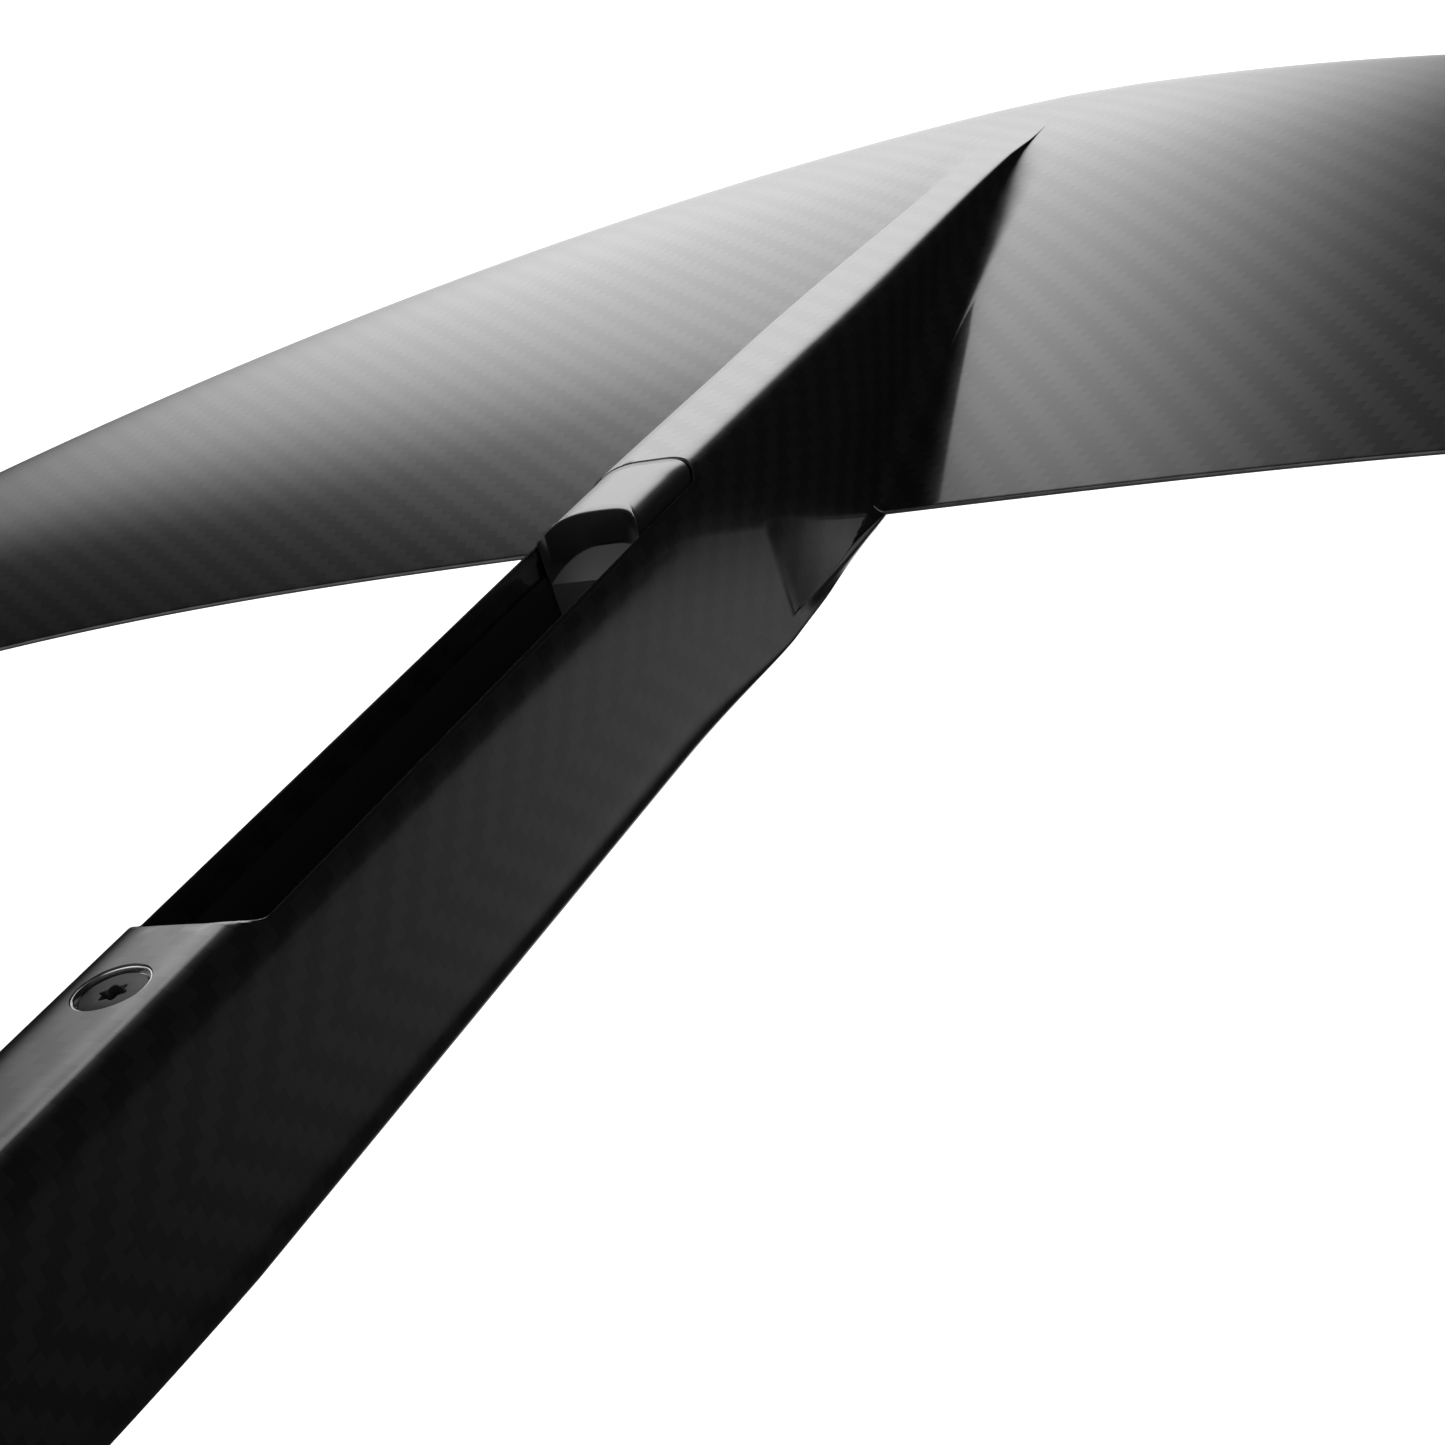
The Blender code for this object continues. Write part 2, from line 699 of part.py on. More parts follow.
def screw_seat(finish):
    """Metal bushing in the deck that takes the screw's conical head."""
    rim_z = SCREW_TOP_Z - HEAD_RIM
    throat_z = rim_z - (SEAT_RADIUS - SEAL_BORE)
    profile = [
        (SEAL_BORE, SEAT_BOTTOM_Z), (SEAT_BODY_RADIUS, SEAT_BOTTOM_Z),
        (SEAT_BODY_RADIUS, SEAT_SHOULDER_Z), (SEAT_RIM_RADIUS, SEAT_SHOULDER_Z),
        (SEAT_RIM_RADIUS, SEAT_TOP_Z), (SEAT_RADIUS, SEAT_TOP_Z),
        (SEAT_RADIUS, rim_z), (SEAL_BORE, throat_z),
    ]
    return turned("screw_seat", profile, (0.0, SCREW_Y), finish)


def screw_seal(finish):
    """Rubber ring on the shank under the head."""
    inner = SHANK_RADIUS + SEAL_CLEARANCE
    outer = SEAL_BORE - SEAL_CLEARANCE
    middle = (inner + outer) / 2
    half = (outer - inner) / 2
    profile = []
    for index in range(SEAL_SIDES):
        angle = 2 * math.pi * index / SEAL_SIDES
        profile.append((middle + half * math.cos(angle), SEAL_Z + half * math.sin(angle)))
    return turned("screw_seal", profile, (0.0, SCREW_Y), finish, SMALL_ROUND_STEPS)


def blind_insert(name, y, radius, bore, bottom_z, top_z, finish):
    """Threaded barrel, open at the top."""
    profile = [
        (0.0, bottom_z), (radius, bottom_z), (radius, top_z), (bore, top_z),
        (bore, bottom_z + INSERT_FLOOR), (0.0, bottom_z + INSERT_FLOOR),
    ]
    return turned(name, profile, (0.0, y), finish, SMALL_ROUND_STEPS)


def hole(name, y, radius, low_z, high_z):
    profile = [(0.0, low_z), (radius, low_z), (radius, high_z), (0.0, high_z)]
    return as_cutter(turned(name, profile, (0.0, y), None))


def stabiliser_pad(finish):
    """Hard block under the stabiliser, flush with the cut-away tail."""
    low = (-PAD_HALF_WIDTH, PAD_FRONT_Y + GAP, PAD_Z - PAD_DEPTH)
    high = (PAD_HALF_WIDTH, CAP_Y - 2 * GAP, PAD_Z)
    return box("stabiliser_pad", low, high, finish)


def tail_cap(finish):
    """Moulded plug that closes the tail."""
    sections = []
    middle = (PAD_Z + belly_z(CAP_Y)) / 2
    for behind, scale in CAP_PROFILE:
        height = (PAD_Z - belly_z(CAP_Y)) / 2 * scale
        width = half_width(CAP_Y) * scale
        outline = []
        for degrees in steps(0.0, 360.0, 24)[:-1]:
            angle = math.radians(degrees)
            reach_x = abs(math.cos(angle)) ** (2 / CAP_POWER)
            reach_z = abs(math.sin(angle)) ** (2 / CAP_POWER)
            x = math.copysign(width * reach_x, math.cos(angle))
            z = middle + math.copysign(height * reach_z, math.sin(angle))
            outline.append((x, CAP_Y + behind, z))
        sections.append(outline)
    return loft("tail_cap", sections, finish)


# ---------------------------------------------------------------- assembly


def build():
    carbon = material("carbon_twill", (0.035, 0.036, 0.037), 0.28)
    foam = material("foam", (0.55, 0.52, 0.42), 0.9)
    spar_carbon = material("spar_carbon", (0.05, 0.05, 0.055), 0.5)
    socket_carbon = material("socket_carbon", (0.01, 0.01, 0.01), 0.45)
    filler_plastic = material("filler", (0.05, 0.05, 0.05), 0.35)
    block_plastic = material("block", (0.09, 0.09, 0.09), 0.5)
    dark_steel = material("dark_steel", (0.03, 0.03, 0.03), 0.45, 0.6)
    bright_steel = material("bright_steel", (0.6, 0.6, 0.6), 0.25, 1.0)
    brass = material("brass", (0.6, 0.45, 0.18), 0.35, 1.0)
    rubber = material("rubber", (0.02, 0.02, 0.02), 0.8)
    cap_plastic = material("cap_plastic", (0.02, 0.02, 0.02), 0.5)

    upper = skin("upper_skin", 1, carbon)
    skin("lower_skin", -1, carbon)
    port = wing_core("port_core", 1, foam)
    starboard = wing_core("starboard_core", -1, foam)
    nose = nose_core(foam)
    tail_stations = (SOCKET_REAR_Y + GAP, *BODY_STATIONS[10:-1], TAIL_CORE_END_Y)
    tail = body_core("tail_core", tail_stations, foam)
    spar("main_spar", 0.0, spar_carbon)
    socket = mast_socket(socket_carbon)
    block("filler_block", SLOT_HALF_WIDTH - GAP, 0.0, block_plastic)
    slot_filler(filler_plastic)
    mast_screw(dark_steel)
    screw_seat(bright_steel)
    screw_seal(rubber)
    blind_insert(
        "mast_screw_insert", SCREW_Y, INSERT_RADIUS, INSERT_BORE,
        INSERT_BOTTOM_Z, INSERT_TOP_Z, brass,
    )
    pad = stabiliser_pad(spar_carbon)
    tail_cap(cap_plastic)
    for word, y in zip(("front", "rear"), STABILISER_SCREW_Y):
        insert_bottom = PAD_Z - PAD_DEPTH + STABILISER_INSERT_LIFT
        blind_insert(
            "stabiliser_insert_" + word, y, STABILISER_INSERT_RADIUS, STABILISER_BORE,
            insert_bottom, PAD_Z - STABILISER_INSERT_SUNK, brass,
        )
        cut(pad, hole(
            "pad_hole_" + word, y, STABILISER_INSERT_RADIUS + GAP,
            insert_bottom - GAP, PAD_Z + CUTTER_OVERRUN,
        ))

    spar_slot = as_cutter(spar("spar_slot", GAP))
    for core in (port, starboard, nose):
        cut(core, spar_slot)

    outline = rounded_slot(
        SLOT_HALF_WIDTH, SLOT_FRONT_Y, SLOT_REAR_Y, SLOT_FRONT_RADIUS, SLOT_REAR_RADIUS
    )
    above_z = CROWN_Z + CUTTER_OVERRUN
    cut(upper, as_cutter(prism("slot", outline, SKIN_SLOT_FROM_Z, above_z)))
    cut(upper, hole("seat_hole", SCREW_Y, SEAT_RIM_RADIUS + HALF_GAP, SEAT_HOLE_FROM_Z, above_z))
    cut(socket, hole("seat_bore", SCREW_Y, SEAT_BODY_RADIUS + GAP, SEAT_BOTTOM_Z - GAP, above_z))
    cut(socket, hole(
        "shank_bore", SCREW_Y, SHANK_RADIUS + SHANK_CLEARANCE,
        INSERT_TOP_Z, SEAT_BOTTOM_Z + CUTTER_LAP,
    ))
    cut(socket, hole(
        "insert_bore", SCREW_Y, INSERT_RADIUS + GAP,
        INSERT_BOTTOM_Z - GAP, HEEL_POCKET[0][2] + CUTTER_LAP,
    ))

    notch = as_cutter(box(
        "stabiliser_notch",
        (-NOTCH_HALF_WIDTH, PAD_FRONT_Y, PAD_Z),
        (NOTCH_HALF_WIDTH, NOTCH_REAR_Y, NOTCH_TOP_Z),
    ))
    cut(upper, notch)
    pad_pocket = as_cutter(box(
        "pad_pocket",
        (-PAD_HALF_WIDTH - GAP, PAD_FRONT_Y, PAD_Z - PAD_DEPTH - GAP),
        (PAD_HALF_WIDTH + GAP, NOTCH_REAR_Y, NOTCH_TOP_Z),
    ))
    cut(tail, notch)
    cut(tail, pad_pocket)


for old in list(bpy.data.objects):
    bpy.data.objects.remove(old)
build()
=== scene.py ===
"""Looks of a carbon hydrofoil front wing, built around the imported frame.

The working unit here is the millimetre, in the frame of the CAD: nose towards -Y,
tail towards +Y, +Z up, starboard at -X. Meshes become metres in new_object.
"""

import math

import bmesh
import bpy
from mathutils import Matrix, Vector


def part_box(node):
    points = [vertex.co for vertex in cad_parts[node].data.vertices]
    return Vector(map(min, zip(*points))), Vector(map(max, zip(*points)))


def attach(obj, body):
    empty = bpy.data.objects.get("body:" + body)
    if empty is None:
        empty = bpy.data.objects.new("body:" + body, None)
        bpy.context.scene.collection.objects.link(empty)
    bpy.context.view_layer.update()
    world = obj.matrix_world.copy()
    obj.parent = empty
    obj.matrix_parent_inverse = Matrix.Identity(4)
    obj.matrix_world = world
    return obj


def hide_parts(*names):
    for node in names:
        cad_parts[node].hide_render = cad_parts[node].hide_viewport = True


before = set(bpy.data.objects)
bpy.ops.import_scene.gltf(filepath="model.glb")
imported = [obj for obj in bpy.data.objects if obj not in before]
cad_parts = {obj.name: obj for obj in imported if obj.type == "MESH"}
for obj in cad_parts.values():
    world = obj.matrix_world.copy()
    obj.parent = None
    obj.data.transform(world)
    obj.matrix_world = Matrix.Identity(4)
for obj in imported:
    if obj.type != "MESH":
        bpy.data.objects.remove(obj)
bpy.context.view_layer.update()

MM = 0.001


def box_mm(node):
    """Lowest and highest corner of a CAD node in millimetres."""
    low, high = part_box(node)
    return low / MM, high / MM


def middle_of(node):
    low, high = box_mm(node)
    return (low + high) / 2


# --- places read from the frame ---
CROWN_Z = box_mm("upper_skin")[1].z
SKIN_END_Y = box_mm("upper_skin")[1].y
SCREW_Y = middle_of("mast_screw").y
SCREW_TOP_Z = box_mm("mast_screw")[1].z
SCREW_BOTTOM_Z = box_mm("mast_screw")[0].z
SEAT_BOTTOM_Z = box_mm("screw_seat")[0].z
PAD_Z = box_mm("stabiliser_pad")[1].z
PAD_LOW = box_mm("stabiliser_pad")[0]
PAD_HIGH = box_mm("stabiliser_pad")[1]
LEDGE_Y = box_mm("filler_block")[1].y
BLOCK_FRONT_Y = box_mm("filler_block")[0].y
BLOCK_LOW_Z = box_mm("filler_block")[0].z
RAMP_TOP_Z = box_mm("filler_block")[1].z
CAP_LOW = box_mm("tail_cap")[0]
CAP_HIGH = box_mm("tail_cap")[1]
BELLY_Z = -15.3

# --- planform and aerofoil of the wing, the CAD's own law ---
HALF_SPAN = 442.5
LE_ROOT_Y = -444.7
LE_RAKE = 31.4
LE_POWER = 1.87
LE_ROUND = 1.717
TE_ROOT_Y = -171.3
TE_BOW = 2.7
TE_POWER = 3.57
TIP_Y = -43.9
TE_ROOT_Z = -6.4
TIP_DROOP = 11.3
INCIDENCE = 0.0734
THICKNESS = 0.112
CAMBER = 0.028
CAMBER_AT = 0.4
TE_HALF = 0.5
TE_ROUND = 0.3
SKIN = 1.5
SOLID_TIP_FROM = 0.95

# --- fuselage ---
HALF_WIDTH = 15.0
NOSE_HALF_WIDTH = 8.0
QUADRANT = 26.5
CORNER_POWER = 4.9
ROOT_X = 20.0
FLARE_X = 5.0
FLARE_END_Y = -121.0
FILLET_HEIGHT = 22.0
NOSE_DROP_FROM_Y = -90.0
RIDGE_FROM = 0.25
RIDGE_OVER = 0.13
TAPER_FROM_Y = 113.0
TAIL_Y = 290.0
TAIL_HALF_WIDTH = 13.0
CREASE_SLOPE = 0.13
CREASE_REACH = 2.6
CREASE_TOP_Z = 32.0
CHINE_DROP = 2.6

# --- mast slot and its pieces ---
SLOT_HALF_WIDTH = 12.8
SLOT_FRONT_Y = -107.5
SLOT_REAR_Y = 86.1
SLOT_FRONT_RADIUS = 9.5
SLOT_REAR_RADIUS = 7.5
SLOT_ROUND = 0.6
FILLER_GAP = 0.45
FILLER_CHAMFER = 0.35
ARC_APEX_Y = -79.6
ARC_SIDE_Y = -72.0
ARC_POWER = 3.0
ARC_ROUND = 0.9
ARC_BEVEL = 1.0
LEDGE_Z = 25.6
GAP = 0.3

# --- screw and seat ---
HEAD_RADIUS = 6.0
SHANK_RADIUS = 2.95
SEAT_RADIUS = 6.5
SEAT_RIM_RADIUS = 6.9
SEAT_BODY_RADIUS = 8.2
SEAT_TOP_Z = 37.7
SEAL_BORE = 4.8
DRIVE_RADIUS = 2.6
DRIVE_DEPTH = 2.6
THREAD_PITCH = 1.0
THREAD_DEPTH = 0.35

# --- carbon cloth ---
TOW = 3.1 * MM

# --- camera ---
CAMERA_AT = (-0.29898, 0.40360, 0.21937)
CAMERA_DIRECTION = (0.4699, -0.79488, -0.38387)
CAMERA_ROLL = -17.7
CAMERA_LENS = 70.0
FLOOR_Z = -0.45


# ---------------------------------------------------------------- small helpers


def smoothstep(value):
    value = min(max(value, 0.0), 1.0)
    return value * value * (3.0 - 2.0 * value)


def steps(low, high, count):
    return [low + (high - low) * index / count for index in range(count + 1)]


def new_object(name, points, faces, uvs=None, smooth_angle=30.0):
    """An object from points in millimetres, with its faces turned outwards."""
    mesh = bpy.data.meshes.new(name)
    work = bmesh.new()
    corners = [work.verts.new([value * MM for value in point]) for point in points]
    made = [work.faces.new([corners[index] for index in face]) for face in faces]
    if uvs is not None:
        layer = work.loops.layers.uv.new("cloth")
        for face, source in zip(made, faces):
            for loop, index in zip(face.loops, source):
                loop[layer].uv = uvs[index]
    bmesh.ops.remove_doubles(work, verts=work.verts, dist=2e-7)
    bmesh.ops.recalc_face_normals(work, faces=work.faces)
    if work.calc_volume(signed=True) < 0:
        bmesh.ops.reverse_faces(work, faces=work.faces)
    work.to_mesh(mesh)
    work.free()
    mesh.shade_smooth()
    mesh.set_sharp_from_angle(angle=math.radians(smooth_angle))
    obj = bpy.data.objects.new(name, mesh)
    bpy.context.scene.collection.objects.link(obj)
    return obj


def piece(obj, finish, body, slot, *nodes):
    """Gives a finished object its material and its body, and hides the CAD nodes it stands for."""
    obj.data.materials.clear()
    obj.data.materials.append(finish)
    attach(obj, body)
    if nodes:
        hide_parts(*nodes)
    return obj


def subtract(target, *cutters):
    """Cuts each cutter from the target and leaves a plain mesh."""
    for cutter in cutters:
        modifier = target.modifiers.new("cut", "BOOLEAN")
        modifier.operation = "DIFFERENCE"
        modifier.solver = "EXACT"
        modifier.object = cutter
    bpy.context.view_layer.update()
    graph = bpy.context.evaluated_depsgraph_get()
    result = bpy.data.meshes.new_from_object(target.evaluated_get(graph))
    target.modifiers.clear()
    target.data = result
    for cutter in cutters:
        bpy.data.objects.remove(cutter)
    result.shade_smooth()
    result.set_sharp_from_angle(angle=math.radians(30.0))
    return target


def loft(name, sections, **options):
    """Closed solid through sections that all have the same number of points."""
    count = len(sections[0])
    points = [point for outline in sections for point in outline]
    faces = [tuple(range(count)), tuple(range(len(points) - 1, len(points) - count - 1, -1))]
    for layer in range(len(sections) - 1):
        base = layer * count
        for index in range(count):
            after = (index + 1) % count
            faces.append((base + index, base + after, base + count + after, base + count + index))
    return new_object(name, points, faces, **options)


def prism(name, outline, low_z, high_z):
    return loft(name, [[(x, y, z) for x, y in outline] for z in (low_z, high_z)])


def block(name, low, high):
    outline = [(low[0], low[1]), (high[0], low[1]), (high[0], high[1]), (low[0], high[1])]
    return prism(name, outline, low[2], high[2])


def turned(name, profile, centre, count=96, smooth_angle=30.0):
    """A closed (radius, height) profile turned about a vertical axis."""
    points = []
    rings = []
    for radius, height in profile:
        if radius == 0.0:
            rings.append([len(points)] * count)
            points.append((centre[0], centre[1], height))
            continue
        rings.append(list(range(len(points), len(points) + count)))
        for index in range(count):
            angle = 2 * math.pi * index / count
            x = centre[0] + radius * math.cos(angle)
            y = centre[1] + radius * math.sin(angle)
            points.append((x, y, height))
    faces = []
    for ring, above in zip(rings, rings[1:] + rings[:1]):
        for index in range(count):
            after = (index + 1) % count
            corners = [ring[index], ring[after], above[after], above[index]]
            corners = list(dict.fromkeys(corners))
            if len(corners) > 2:
                faces.append(corners)
    return new_object(name, points, faces, smooth_angle=smooth_angle)


def rounded_slot(grow=0.0, arc_steps=14, straight_steps=60):
    """Plan outline of the slot, grown outwards, with points along its straights."""
    half = SLOT_HALF_WIDTH + grow
    front = SLOT_FRONT_RADIUS + grow
    rear = SLOT_REAR_RADIUS + grow
    corners = [
        (half - rear, SLOT_REAR_Y + grow - rear, rear, 0.0),
        (-half + rear, SLOT_REAR_Y + grow - rear, rear, 90.0),
        (-half + front, SLOT_FRONT_Y - grow + front, front, 180.0),
        (half - front, SLOT_FRONT_Y - grow + front, front, 270.0),
    ]
    outline = []
    for number, (x, y, radius, start) in enumerate(corners):
        for degrees in steps(start, start + 90.0, arc_steps):
            angle = math.radians(degrees)
            outline.append((x + radius * math.cos(angle), y + radius * math.sin(angle)))
        after = corners[(number + 1) % 4]
        angle = math.radians(after[3])
        end = (after[0] + after[2] * math.cos(angle), after[1] + after[2] * math.sin(angle))
        count = straight_steps if number in (1, 3) else 10
        last = outline[-1]
        for share in steps(0.0, 1.0, count)[1:-1]:
            outline.append((
                last[0] + (end[0] - last[0]) * share, last[1] + (end[1] - last[1]) * share
            ))
    return outline


# ---------------------------------------------------------------- surfaces


def planform(x):
    """Leading edge y and z, trailing edge y and z at a span position."""
    part = min(abs(x) / HALF_SPAN, 1.0)
    te_y = TE_ROOT_Y + TE_BOW * part**2
    te_y += (TIP_Y - TE_ROOT_Y - TE_BOW) * part**TE_POWER
    sweep = 1.0 - (1.0 - part**LE_POWER) ** (1.0 / LE_ROUND)
    le_y = LE_ROOT_Y + LE_RAKE * part + (TIP_Y - LE_ROOT_Y - LE_RAKE) * sweep
    te_z = TE_ROOT_Z - TIP_DROOP * part**3
    return le_y, te_z + INCIDENCE * (te_y - le_y), te_y, te_z


def camber_line(part):
    if part < CAMBER_AT:
        return CAMBER / CAMBER_AT**2 * (2 * CAMBER_AT * part - part**2)
    rear = 1 - 2 * CAMBER_AT + 2 * CAMBER_AT * part - part**2
    return CAMBER / (1 - CAMBER_AT) ** 2 * rear


def half_thickness(part):
    series = 0.2969 * math.sqrt(part) - 0.126 * part - 0.3516 * part**2
    series += 0.2843 * part**3 - 0.1036 * part**4
    return THICKNESS / 0.2 * series


def edge_round(distance):
    """How much a trailing edge corner is rounded off at a distance from its end."""
    if distance >= TE_ROUND:
        return 0.0
    return TE_ROUND - math.sqrt(TE_ROUND**2 - (TE_ROUND - max(distance, 0.0)) ** 2)


def wing_z(x, y, side, inset=0.0):
    """Height of the wing's upper (+1) or lower (-1) surface, moved in by inset."""
    le_y, le_z, te_y, te_z = planform(x)
    chord = te_y - le_y
    part = min(max((y - le_y) / chord, 0.0), 1.0)
    middle = le_z + (te_z - le_z) * part + camber_line(part) * chord
    if inset and abs(x) / HALF_SPAN > SOLID_TIP_FROM:
        inset = chord
    half = half_thickness(part) * chord + TE_HALF * part - inset
    if not inset:
        half -= edge_round(te_y - y)
    return middle + side * max(half, 0.0)


def wing_y(x, part, inset=0.0):
    le_y, _, te_y, _ = planform(x)
    return le_y + inset + (te_y - le_y - inset) * part


def deck_z(y):
    ahead = max(NOSE_DROP_FROM_Y - y, 0.0)
    return CROWN_Z - 0.012 * ahead - 0.00005 * ahead**2


def belly_z(y):
    ahead = max(-120.0 - y, 0.0) / 280.0
    behind = max(y - TAPER_FROM_Y, 0.0)
    return BELLY_Z + 9.0 * ahead + 6.0 * ahead**2 + 0.03 * behind + 0.0003 * behind**2


def half_width(y):
    nose = smoothstep((-180.0 - y) / 170.0)
    tail = smoothstep((y - TAPER_FROM_Y) / (TAIL_Y - TAPER_FROM_Y))
    width = HALF_WIDTH - (HALF_WIDTH - NOSE_HALF_WIDTH) * nose
    return width - (HALF_WIDTH - TAIL_HALF_WIDTH) * tail


def flare(y):
    left = min(max((FLARE_END_Y - y) / (FLARE_END_Y - TE_ROOT_Y), 0.0), 1.0)
    return 0.5 * left**3 + 0.5 * left


def crease_offset(y, z):
    """Outward turn of the side ahead of the crease behind the wing root."""
    crease_y = FLARE_END_Y + 0.6 - 0.0165 * (z - 7.0) ** 2
    ahead = max(crease_y - y, 0.0)
    reach = CREASE_REACH * math.tanh(ahead * CREASE_SLOPE / CREASE_REACH)
    reach *= 1.0 - smoothstep((ahead - 45.0) / 70.0)
    return reach * smoothstep((CREASE_TOP_Z - z) / 16.0) * smoothstep((z + 13.0) / 5.0)


def rise_above_wing(y, side):
    """How far the deck (or belly) stands proud of the wing surface beside it."""
    le_y, _, te_y, _ = planform(ROOT_X)
    surface = deck_z(y) if side > 0 else belly_z(y)
    proud = side * (surface - wing_z(ROOT_X, y, side))
    soft = 0.5 * (proud + math.sqrt(proud**2 + 1.0))
    return soft * smoothstep(((y - le_y) / (te_y - le_y) - RIDGE_FROM) / RIDGE_OVER)


def parting_z(y):
    middle = (CROWN_Z + BELLY_Z) / 2
    dip = CHINE_DROP * smoothstep((y - TE_ROOT_Y) / (FLARE_END_Y - TE_ROOT_Y))
    return TE_ROOT_Z - dip + (middle - TE_ROOT_Z + dip) * smoothstep((y - FLARE_END_Y) / 60.0)


def corner_power(y, side):
    if side > 0:
        return CORNER_POWER
    return CORNER_POWER - (CORNER_POWER - 2.4) * smoothstep((-118.0 - y) / 50.0)


SHOULDER_COUNT = 30
FILLET_COUNT = 16
SHOULDER_SHARES = [index / SHOULDER_COUNT for index in range(SHOULDER_COUNT + 1)]
FILLET_ANGLES = [90.0 * index / FILLET_COUNT for index in range(1, FILLET_COUNT + 1)]
FUSELAGE_ROWS = SHOULDER_COUNT + FILLET_COUNT


def shoulder_angle(share, power):
    """Angle on a superellipse whose points are spread evenly round its corner."""
    spread = share * math.pi / 2
    return math.atan2(math.sin(spread) ** (power / 2), math.cos(spread) ** (power / 2))


def section(y, side, inset, joint_x, joint_z, top_z, fillet=1.0):
    """Half outline from the centre, over the shoulder and out to the joint."""
    width = half_width(y) - inset
    height = side * (top_z - joint_z)
    rise = min(FILLET_HEIGHT, 0.38 * height) * fillet
    drop = min(QUADRANT, height - rise)
    shape = corner_power(y, side)
    power = 2.0 / shape
    outline = []
    for share in SHOULDER_SHARES:
        angle = shoulder_angle(share, 0.5 * shape + 0.5)
        x = width * math.sin(angle) ** power
        down = drop * (1.0 - max(math.cos(angle), 0.0) ** power)
        outline.append((x, top_z - side * down))
    for degrees in FILLET_ANGLES:
        angle = math.radians(degrees)
        x = joint_x - (joint_x - width) * math.cos(angle)
        low = min(height - drop, rise)
        start_z = joint_z + side * (height - drop)
        blend = 1.0 - math.sin(angle)
        z = joint_z + side * low * blend
        if degrees == FILLET_ANGLES[0]:
            z = 0.5 * (z + start_z)
        outline.append((x, z))
    return outline


def widened(x, y, z, inset):
    """Section x with the crease's outward turn, which the fillet swallows."""
    width = half_width(y) - inset
    part = min(x / width, 1.0)
    return max(x, x * (1.0 - part**6) + (width + crease_offset(y, z)) * part**6)


def root_section(part, side, inset):
    """Fuselage points beside the wing at a chord fraction, as (x, y, z)."""
    y = wing_y(ROOT_X, part, inset)
    joint_z = wing_z(ROOT_X, y, side, inset)
    surface = (deck_z(y) if side > 0 else belly_z(y)) - side * inset
    top_z = joint_z + side * rise_above_wing(y, side)
    if part > 0.6:
        top_z = min(top_z, surface) if side > 0 else max(top_z, surface)
    shift = planform(0.0)[0] - planform(ROOT_X)[0]
    points = []
    for x, z in section(y, side, inset, ROOT_X, joint_z, top_z):
        blend = 1.0 - min(x / ROOT_X, 1.0)
        points.append((widened(x, y, z, inset), y + shift * blend * (1.0 - part), z))
    return points


def body_section(y, side, inset):
    """Fuselage points behind the trailing edge, as (x, y, z)."""
    bare = flare(y)
    joint_x = half_width(y) + FLARE_X * bare - inset
    edge = TE_HALF - TE_ROUND
    joint_z = parting_z(y) + side * edge * bare * (inset == 0.0)
    surface = (deck_z(y) if side > 0 else belly_z(y)) - side * inset
    points = []
    for x, z in section(y, side, inset, joint_x, joint_z, surface, smoothstep(4.0 * bare)):
        points.append((widened(x, y, z, inset), y, z))
    return points


# ---------------------------------------------------------------- skins


CHORD_COUNT = 52
CHORD_PARTS = [(1.0 - math.cos(math.pi * index / CHORD_COUNT)) / 2 for index in range(CHORD_COUNT + 1)]
CHORD_PARTS[-1:-1] = [0.99935, 0.9997]
SPAN_COUNT = 70
SPAN_FIRST = math.asin((ROOT_X + 3.0) / HALF_SPAN)
SPAN_LAST = math.asin(0.9995)
SPAN_ANGLES = steps(SPAN_FIRST, SPAN_LAST, SPAN_COUNT)


def body_stations():
    """Stations behind the trailing edge: close at the flare, wider along the body."""
    near = steps(-170.3, -116.0, 44)
    return near + steps(-113.0, 113.0, 76) + steps(117.0, SKIN_END_Y, 40)


BODY_STATIONS = body_stations()


def skin_grid(side, inset):
    """Half skin as {(row, column): point}: row 0 is the centre plane."""
    grid = {}
    for column, part in enumerate(CHORD_PARTS):
        for row, point in enumerate(root_section(part, side, inset)):
            grid[row, column] = point
        for index, angle in enumerate(SPAN_ANGLES):
            x = HALF_SPAN * math.sin(angle)
            y = wing_y(x, part, inset)
            grid[FUSELAGE_ROWS + 1 + index, column] = (x, y, wing_z(x, y, side, inset))
    for index, y in enumerate(BODY_STATIONS):
        for row, point in enumerate(body_section(y, side, inset)):
            grid[row, len(CHORD_PARTS) + index] = point
    return grid


def mirrored(grid):
    both = dict(grid)
    for (row, column), (x, y, z) in grid.items():
        both[-row, column] = (-x, y, z)
    return both


def drape(grid):
    """Cloth coordinates: distance round the section from the centre, and y."""
    columns = sorted({column for _, column in grid})
    last = {column: max(row for row, at in grid if at == column) for column in columns}
    cloth = {}
    for column in columns:
        for sign in (1, -1):
            run = 0.0
            before = grid[0, column]
            cloth[0, column] = (0.0, before[1] * MM)
            for row in range(1, last[column] + 1):
                point = grid[sign * row, column]
                run += math.hypot(point[0] - before[0], point[2] - before[2])
                cloth[sign * row, column] = (sign * run * MM, point[1] * MM)
                before = point
    return cloth


